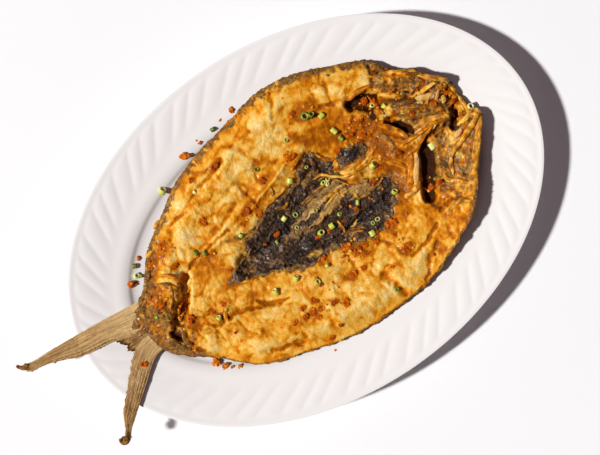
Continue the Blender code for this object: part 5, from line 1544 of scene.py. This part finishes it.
def make_lining(number, outline, material):
    """One closed, blistered skin of the belly's dark lining."""
    low = np.array(outline, float).min(0) * MM - 2 * MM
    high = np.array(outline, float).max(0) * MM + 2 * MM
    steps = [np.arange(low[k], high[k], LINING_STEP) for k in (0, 1)]
    x, y = np.meshgrid(*steps, indexing="ij")
    wave_x, wave_y = frayed(x, y, LINING_FRAY)
    depth = lining_depth(x, y, (outline,))
    lift = LINING_LIFT * ease(0.5 + depth / LINING_SOFT) - LINING_DIVE * ease(0.5 - depth / LINING_SOFT)
    folds = np.zeros(x.shape)
    for height, softness, path in LINING_FOLDS:
        folds += height * MM * brush(wave_x, wave_y, path, softness)
    crag = ridged(wave_x / 1.8, wave_y, (1, 4.8, 71)) + ridged(x, y, (0.32, 2.4, 73)) - 0.5
    crag += ripple(x, y, (0.75, 6, 75), (0.08, 1.5, 77)) + ripple(1.3 * x, y, (0.45, 2.9, 76))
    along = x * math.cos(MEMBRANE_LEAN) + y * math.sin(MEMBRANE_LEAN)
    aside = y * math.cos(MEMBRANE_LEAN) - x * math.sin(MEMBRANE_LEAN) + MM * ripple(x, y, (1.6, 11, 90))
    streak = ripple(along / 7, aside, (1, 1.0, 74)) + ripple(along / 4, aside, (0.7, 2.2, 72))
    film = np.zeros(x.shape)
    tone = np.zeros(x.shape)
    for height, softness, shade, path in MEMBRANES:
        sheet = brush(wave_x, wave_y, path, softness)
        folds = np.maximum(folds, folds * (1 - 0.5 * sheet) + height * MM * sheet)
        tone += (shade - tone) * sheet
        film = np.maximum(film, sheet)
    crag = crag * (1 - 0.66 * film) + 0.20 * streak * film
    inner = ease(depth / (2.5 * MM))
    ground_height = flesh(x, y, fine=False)[0]
    top = ground_height + lift + (folds + MM * crag) * inner
    below = np.minimum(ground_height - 2.0 * MM, top - 0.6 * MM)
    keep = 0.25 * (depth[1:, 1:] + depth[:-1, 1:] + depth[1:, :-1] + depth[:-1, :-1]) > -0.8 * MM
    worn = 0.82 * ease(1 - depth / (3.8 * MM)) + ripple(x, y, (0.5, 2.4, 70))
    tan = np.maximum(painted(wave_x, wave_y, LINING_TAN), worn) + 0.10 + ripple(x, y, (0.45, 6, 79))
    marks = {"tan": tan, "deep": 0.9 * painted(wave_x, wave_y, LINING_DEEP) * (1 - film),
             "film": film * inner * (0.90 + 0.22 * streak), "gold": tone + 0.13 * streak}
    return island(f"belly_lining_{number}", x, y, keep, top, below, material, marks)


# ------------------------------------------------------------- ridges and bones
def strand_tube(path, flat, seed, ground):
    """Points and faces of one ridge: an oval section swept along a path, closed at both ends."""
    spots = np.array(path, float) * MM
    knots = run_along(spots[:, :2])
    rows = max(8, int(knots[-1] / STRAND_STEP))
    where = np.linspace(0.0, knots[-1], rows)
    lane = 0 * where + seed
    x, y, lift, half = (through(where, knots, spots[:, k]) for k in range(4))
    share = where / knots[-1]
    half = np.maximum(half, 0.2 * MM) * np.sqrt(np.clip(4 * share * (1 - share) * 3, 0.02, 1.0))
    half = half * (1 + ripple(where, lane, (0.20, 5, 81)))
    x = x + MM * ripple(where, lane, (0.35, 4, 82))
    y = y + MM * ripple(where, lane, (0.35, 4, 83))
    z = lift if ground is None else 0.55 * lift + ground(x, y)
    z = z + MM * ripple(where, lane, (0.20, 5, 86))
    heading = np.unwrap(np.arctan2(np.gradient(y, where), np.gradient(x, where)))
    turn = np.linspace(0.0, 2 * math.pi, STRAND_SIDES, endpoint=False)
    side = np.cos(turn)[None, :] * half[:, None]
    rise = np.sin(turn)[None, :] * (half * flat)[:, None]
    ring_x = x[:, None] - np.sin(heading)[:, None] * side
    ring_y = y[:, None] + np.cos(heading)[:, None] * side
    along = np.repeat(where[:, None], STRAND_SIDES, axis=1)
    streaks = ripple(along / 4.5 + 0.37 * seed, side, (1, 1.1, 84))
    crag = 0.26 * streaks + ripple(ring_x, ring_y, (0.30, 2.4, 85), (0.18, 1.3, 87))
    ring_z = z[:, None] + rise + MM * crag * np.clip(np.sin(turn), 0, 1)[None, :]
    if ground is not None:
        ring_z = np.minimum(ring_z, TALLEST)
    points = np.stack((ring_x, ring_y, ring_z), axis=-1).reshape(-1, 3)
    ends = [points[:STRAND_SIDES].mean(0), points[-STRAND_SIDES:].mean(0)]
    last = rows * STRAND_SIDES
    faces = []
    for j in range(STRAND_SIDES):
        k = (j + 1) % STRAND_SIDES
        faces += [(a + j, a + STRAND_SIDES + j, a + STRAND_SIDES + k, a + k)
                  for a in range(0, last - STRAND_SIDES, STRAND_SIDES)]
        faces += [(last, j, k), (last + 1, last - STRAND_SIDES + k, last - STRAND_SIDES + j)]
    return np.concatenate((points, ends)), faces, np.concatenate((streaks.ravel(), (0.0, 0.0)))


def make_strands(name, strands, material, ground):
    vertices = np.zeros((0, 3))
    faces = []
    marks = {"toast": [], "skin": [], "char_and_shade": [], "bone": []}
    for number, (kind, flat, path) in enumerate(strands):
        points, rings, streaks = strand_tube(path, flat, number * 0.37, ground)
        faces += [tuple(len(vertices) + k for k in ring) for ring in rings]
        vertices = np.concatenate((vertices, points))
        patches = ripple(points[:, 0], points[:, 1], (1, 3.4, 91))
        toast, skin, char_and_shade, bone = KINDS[kind]
        marks["toast"].append(toast + 0.12 * patches - 0.16 * streaks)
        marks["skin"].append(skin * (1 + 0.7 * patches - 0.2 * streaks))
        marks["char_and_shade"].append(char_and_shade + 0 * patches)
        marks["bone"].append(bone + 0 * patches)
    marks = {label: np.concatenate(values) for label, values in marks.items()}
    return face_outwards(new_piece(name, vertices, faces, material, marks))


# ---------------------------------------------------------------------- tail fin
def lobe_edges(lobe, shares):
    edges = []
    for key in ("edge_a", "edge_b"):
        points = np.array(lobe[key])
        knots = run_along(points)
        edges.append(np.stack([through(shares, knots / knots[-1], side) for side in points.T], axis=-1))
    return edges


def lobe_waves(flat, lane):
    """How a lobe waves up and down, and droops along both edges."""
    return MM * ripple(flat[..., 0], flat[..., 1], (0.45, 9, 103)) - LOBE_DROOP * (2 * lane - 1) ** 2


def make_lobe(name, lobe, fringe_side, browning, material):
    """One lobe of the tail fin: a thin blade with raised rays and a frayed inner edge."""
    s = np.linspace(0.0, 1.0, LOBE_ROWS + 1)
    edges = lobe_edges(lobe, s)
    width = edges[1] - edges[0]
    out = width / np.linalg.norm(width, axis=1)[:, None]
    length = np.linalg.norm(edges[0][-1] - edges[0][0])
    for k, sign in ((0, -1.0), (1, 1.0)):
        depth = 1.5 if k == fringe_side else 0.3
        fray = depth * ripple(s * length, 0 * s + k, (1, 3.6, 101), (0.7, 1.5, 102))
        edges[k] = edges[k] + sign * out * (MM * fray * ease(s / 0.2))[:, None]
    across = np.linspace(0.0, 1.0, LOBE_LANES + 1)
    flat = edges[0][:, None, :] + (edges[1] - edges[0])[:, None, :] * across[None, :, None]
    end = (flat[-1] - flat[0]) / length
    torn = ripple(across * np.linalg.norm(width[-1]), 0 * across, (1, 1.7, 106), (0.8, 4.5, 107)) - 0.4
    flat = flat + END_FRAY * (torn * ease((s[:, None] - 0.75) / 0.25))[:, :, None] * end[None, :, :]
    level = lobe["root_z"] + (lobe["tip_z"] - lobe["root_z"]) * s
    rays = RAY_RELIEF * np.cos(2 * math.pi * RAYS_PER_LOBE * across)[None, :] * (1 - 0.5 * s)[:, None]
    waves = lobe_waves(flat, across)
    fine = MM * ripple(flat[..., 0], flat[..., 1], (0.16, 3, 104))
    thin = np.clip(np.minimum(across, 1 - across) / 0.06, 0.0, 1.0) ** 0.5
    half = LOBE_THICKNESS / 2 * (1.0 - 0.45 * s)[:, None] * (0.2 + 0.8 * thin)[None, :]
    droop = LOBE_DROOP * (2 * across - 1) ** 2
    top = np.dstack((flat, level[:, None] + half + rays + waves + fine))
    under = np.dstack((flat, level[:, None] - half + 0.6 * (waves + droop + fine) - droop))
    along, lanes = np.meshgrid(s, across, indexing="ij")
    tone = 0.20 + 0.22 * ease((along - 0.25) / 0.25) + 0.34 * ease((along - 0.86) / 0.12)
    tone += 0.16 * ease((np.abs(lanes - 0.5) - 0.36) / 0.12) + ripple(along, lanes, (0.10, 0.13 / MM, 105))
    tone += browning - 0.18 * ease(1 - along / 0.3)
    marks = {"along": (along, along), "across": (lanes, lanes), "fin_tone": (tone, tone + 0.15)}
    return closed_slab(name, top, under, material, marks)


def ray_tree(material):
    """Thin ribs swept along the lines of a mesh, as thick as each point's own radius."""
    nodes, given, result = new_group("swept_rays", "GeometryNodeTree", "Geometry",
                                     Lines=None, Sides=6, Thickness=1.0)
    curves = nodes.add("GeometryNodeMeshToCurve", given["Lines"])
    radius = nodes.add("GeometryNodeInputNamedAttribute", Name="radius", data_type="FLOAT")
    section = nodes.add("GeometryNodeCurvePrimitiveCircle", Resolution=given["Sides"], Radius=1.0)
    tubes = nodes.add("GeometryNodeCurveToMesh", Curve=curves, Profile_Curve=section,
                      Scale=radius * given["Thickness"], Fill_Caps=True)
    nodes.feed(result, nodes.dressed(tubes, material))
    return nodes.tree


def make_rays(name, lobe, tree):
    """The bony rays that stand out along a lobe."""
    s = np.linspace(0.04, 0.985, RAY_STEPS)
    edge_a, edge_b = lobe_edges(lobe, s)
    level = lobe["root_z"] + (lobe["tip_z"] - lobe["root_z"]) * s
    points = []
    lines = []
    marks = {"radius": [], "along": [], "across": [], "fin_tone": []}
    for ray in range(RAYS_PER_LOBE):
        lane = (ray + 0.5) / RAYS_PER_LOBE
        bend = lane + ripple(s, 0 * s + ray, (0.018, 0.22 / MM, 111))
        flat = edge_a + (edge_b - edge_a) * bend[:, None]
        top = level + LOBE_THICKNESS * (1 - 0.45 * s) / 2 + lobe_waves(flat, lane) + RAY_RISE
        radius = RAY_RADIUS * (1 - 0.6 * s) * (1 + ripple(s, 0 * s + ray, (0.3, 0.05 / MM, 112)))
        tone = 0.16 + 0.30 * ease((s - 0.2) / 0.5) + 0.3 * (lattice_share(ray, 3, 9) - 0.5)
        stop = RAY_STEPS - int(18 * lattice_share(ray, 7, 5))
        lines += [(len(points) + k, len(points) + k + 1) for k in range(stop - 1)]
        points += np.column_stack((flat, top))[:stop].tolist()
        for label, values in (("radius", radius), ("along", s), ("across", lane + 0 * s), ("fin_tone", tone)):
            marks[label] += list(values[:stop])
    mesh = bpy.data.meshes.new(name)
    mesh.from_pydata(points, lines, [])
    mark_points(mesh, marks)
    return from_tree(name, mesh, tree)


# ---------------------------------------------------------------------- toppings
def scatter_tree(name, material, make_master, lump_size, lump_depth):
    """Copies of a small shape on points, each turned and sized by its point, then roughened."""
    nodes, given, result = new_group(name, "GeometryNodeTree", "Geometry", Points=None,
                                     Lump_Size=lump_size, Lump_Depth=lump_depth)
    turn, size = (nodes.add("GeometryNodeInputNamedAttribute", Name=label, data_type="FLOAT_VECTOR")
                  for label in ("turn", "size"))
    copies = nodes.add("GeometryNodeInstanceOnPoints", Points=given["Points"], Instance=make_master(nodes),
                       Rotation=nodes.add("FunctionNodeEulerToRotation", turn), Scale=size)
    plain = nodes.add("GeometryNodeRealizeInstances", copies)
    lumps = nodes.noise(given["Lump Size"], 2.0, 0.6, nodes.add("GeometryNodeInputPosition"))
    depth = (lumps - 0.5) * given["Lump Depth"]
    push = nodes.vector("SCALE", nodes.add("GeometryNodeInputNormal"), Scale=depth)
    rough = nodes.add("GeometryNodeSetPosition", Geometry=plain, Offset=push)
    nodes.feed(result, nodes.dressed(rough, material))
    return nodes.tree


def ring_master(nodes):
    """A ring one unit in radius and two high, marked where its outside is."""
    path = nodes.add("GeometryNodeCurvePrimitiveCircle", Resolution=22, Radius=1.0 - RING_WALL / 2)
    section = nodes.add("GeometryNodeCurvePrimitiveQuadrilateral", Width=RING_WALL, Height=2.0)
    section = nodes.add("GeometryNodeResampleCurve", Curve=section, Count=12)
    ring = nodes.add("GeometryNodeCurveToMesh", Curve=path, Profile_Curve=section)
    level = nodes.vector("MULTIPLY", nodes.add("GeometryNodeInputPosition"), (1.0, 1.0, 0.0))
    rind = nodes.add("ShaderNodeMapRange", Value=nodes.vector("LENGTH", level), From_Min=0.72, From_Max=0.98)
    return nodes.add("GeometryNodeStoreNamedAttribute", Geometry=ring, Name="rind", Value=rind,
                     data_type="FLOAT", domain="POINT")


def chip_master(nodes):
    """A round chip with a few hundred faces."""
    return nodes.add("GeometryNodeMeshIcoSphere", Radius=1.0, Subdivisions=4)


def speck_master(nodes):
    """A round speck with a few dozen faces."""
    return nodes.add("GeometryNodeMeshUVSphere", Segments=8, Rings=5, Radius=1.0)


def scattered(name, rows, tree):
    """A piece from rows of place, turn, size and tone."""
    places, turns, sizes, tones = zip(*rows)
    mesh = bpy.data.meshes.new(name)
    mesh.from_pydata(places, [], [])
    mark_points(mesh, {"turn": turns, "size": sizes, "tone": tones})
    return face_outwards(from_tree(name, mesh, tree))


def onion_rows(spots, tree):
    rows = []
    for number, (x, y, radius, length, lean, heading, tone) in enumerate(spots):
        surface = height_over(tree, x * MM, y * MM)
        if surface is None:
            continue
        tilt = math.radians(lean)
        half_height = (length / 2 * math.cos(tilt) + radius * math.sin(tilt)) * MM
        height = surface + half_height * (1.0 - 2.0 * TOPPING_SINK)
        wide = 1.0 + 0.14 * math.sin(2.3 * number)
        rows.append(((x * MM, y * MM, height), (0.0, tilt, math.radians(heading)),
                     (radius * MM * wide, radius * MM / wide, length / 2 * MM), tone))
    return rows


def garlic_rows(spots, tree, rise=0.36, tones=(0.40, 0.66)):
    """Places for chips of garlic, this high for their width and this brown."""
    rows = []
    draw = np.random.RandomState(GARLIC_SEED)
    for x, y, radius, stretch, heading in spots:
        surface = height_over(tree, x * MM, y * MM)
        lean = rise * draw.uniform(-0.5, 0.5, 2)
        tone = draw.uniform(*tones)
        if surface is None:
            continue
        size = np.array((stretch, GARLIC_BREADTH, rise)) * radius * MM * GARLIC_SCALE
        height = min(surface + size[2] * (1.0 - 2.0 * TOPPING_SINK), TALLEST - size[2])
        rows.append(((x * MM, y * MM, height), (*lean, math.radians(heading)), tuple(size), tone))
    return rows


def crumb_rows(tree):
    rows = []
    draw = np.random.RandomState(CRUMB_SEED)
    for centre_x, centre_y, half_x, half_y, count in CRUMB_ZONES:
        for _ in range(count):
            angle = draw.uniform(0.0, 2 * math.pi)
            reach = math.sqrt(draw.uniform(0.0, 1.0))
            x = (centre_x + half_x * reach * math.cos(angle)) * MM
            y = (centre_y + half_y * reach * math.sin(angle)) * MM
            radius = draw.uniform(*CRUMB_RADIUS) * draw.uniform(0.6, 1.0)
            turn = draw.uniform(-0.4, 0.4, 3) * (1, 1, 8)
            tone = draw.uniform(0.05, 0.45)
            surface = height_over(tree, x, y)
            if surface is None or surface < CRUMB_FLOOR:
                continue
            size = radius * np.array(CRUMB_SHAPE)
            height = min(surface + 0.15 * radius, TALLEST - radius)
            rows.append(((x, y, height), tuple(turn), tuple(size), tone))
    return rows


# ------------------------------------------------------------------------- stage
def make_world():
    """A soft fill on everything, before a plain pale backdrop."""
    world = bpy.data.worlds.new("soft_fill")
    world.use_nodes = True
    nodes = Nodes(world.node_tree)
    soft = world.node_tree.nodes["Background"]
    nodes.fill(soft, Color=SKY_COLOUR)
    behind = nodes.add("ShaderNodeBackground", Color=BACKDROP)
    seen = nodes.add("ShaderNodeLightPath")["Is Camera Ray"]
    choice = nodes.add("ShaderNodeMixShader", seen, Wire(nodes, soft.outputs[0]), behind)
    nodes.fill(world.node_tree.nodes["World Output"], Surface=choice)
    bpy.context.scene.world = world


def make_stage():
    half = FLOOR_SIDE / 2
    corners = [(x * half, y * half, -FLOOR_DROP) for x, y in ((-1, -1), (1, -1), (1, 1), (-1, 1))]
    new_piece("studio_floor", corners, [(0, 1, 2, 3)], floor_material(), {})
    make_world()

    height = math.radians(SUN_HEIGHT)
    place = Vector((SUN_HEADING[0] * math.cos(height), SUN_HEADING[1] * math.cos(height), math.sin(height)))
    light = bpy.data.lights.new("key_light", "AREA")
    light.shape = "DISK"
    light.size = SUN_SIZE
    light.energy = SUN_POWER
    key = bpy.data.objects.new("key_light", light)
    key.location = place * SUN_DISTANCE
    key.rotation_euler = place.to_track_quat("Z", "Y").to_euler()
    bpy.context.scene.collection.objects.link(key)

    lens = bpy.data.cameras.new("overhead")
    lens.lens = LENS
    lens.sensor_width = SENSOR
    lens.sensor_fit = "HORIZONTAL"
    camera = bpy.data.objects.new("overhead", lens)
    camera.location = CAMERA_SPOT
    camera.rotation_euler = Euler((0.0, 0.0, math.radians(CAMERA_TURN)))
    bpy.context.scene.collection.objects.link(camera)
    bpy.context.scene.camera = camera
    bpy.context.scene.view_settings.view_transform = "Standard"


# -------------------------------------------------------------------------- main
OUTLINE = outline_points()
make_stage()

effects = (make_mottle(), make_crisp())
fried = fried_material(*effects)
lining = lining_material(*effects)
dried_fin = fin_material(*effects)
green = onion_material(effects[0])
golden = garlic_material(*effects)
glaze = glaze_material(effects[0])

platter = make_platter(glaze)
fish = make_body(fried)
linings = [make_lining(number, outline, lining) for number, outline in enumerate(LININGS, 1)]
ground_tree = surface_tree([fish, *linings])


def ground(x, y):
    """Height of the fish along a line, smoothed so that a ridge bridges small dips."""
    heights = np.array([height_over(ground_tree, a, b) or OFF_FISH for a, b in zip(x, y)])
    width = min(9, len(heights) // 2 * 2 - 1)
    padded = np.pad(heights, width // 2, mode="edge")
    return np.convolve(padded, np.ones(width) / width, mode="valid")


strands = [make_strands(name, rows, fried, ground) for name, rows in (
    ("belly_membranes", BELLY_STRANDS), ("head_bones", HEAD_STRANDS), ("tail_stock_folds", TAIL_STRANDS))]
strands.append(make_strands("fin_web_and_tips", FIN_STRANDS, fried, None))
# The fin web's 0.20 of browning makes it darker than the lobes: browner fin together with painted shade under
# them.
lobes = [make_lobe(name, lobe, fringe_side, browning, dried_fin) for name, lobe, fringe_side, browning in (
    ("far_lobe", FAR_LOBE, 1, -0.10), ("near_lobe", NEAR_LOBE, 0, 0.16), ("fin_web", WEB, 1, 0.20))]
rays = ray_tree(dried_fin)
ribs = [make_rays("far_lobe_rays", FAR_LOBE, rays), make_rays("near_lobe_rays", NEAR_LOBE, rays)]

fish_tree = surface_tree([fish, *linings, *strands, *lobes])
plate_tree = surface_tree([platter])
rings = scatter_tree("cut_rings", green, ring_master, lump_size=0.0016, lump_depth=0.0004)
chips = scatter_tree("fried_chips", golden, chip_master, lump_size=0.0026, lump_depth=0.0042)
specks = scatter_tree("fried_specks", golden, speck_master, lump_size=0.0008, lump_depth=0.0014)
onions = scattered("spring_onions", onion_rows(ONIONS + (HEAD_RING,), fish_tree), rings)
loose_onions = scattered("loose_spring_onions", onion_rows(PLATE_ONIONS, plate_tree), rings)
garlic = scattered("garlic_bits", garlic_rows(GARLIC, fish_tree), chips)
crusts = scattered("stuck_garlic", garlic_rows(STUCK_GARLIC, fish_tree, 0.15, (0.38, 0.66)), chips)
loose_garlic = scattered("loose_garlic_bits", garlic_rows(PLATE_GARLIC, plate_tree, 0.5, (0.20, 0.50)), chips)
crumbs = scattered("crumbs", crumb_rows(fish_tree), specks)

for piece in (fish, *linings, *strands, *lobes, *ribs, onions, garlic, crusts, crumbs):
    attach(piece, "root")
    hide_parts("fish")
for piece in (loose_onions, loose_garlic):
    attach(piece, "root")
    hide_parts("plate")
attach(platter, "root")
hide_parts("plate")
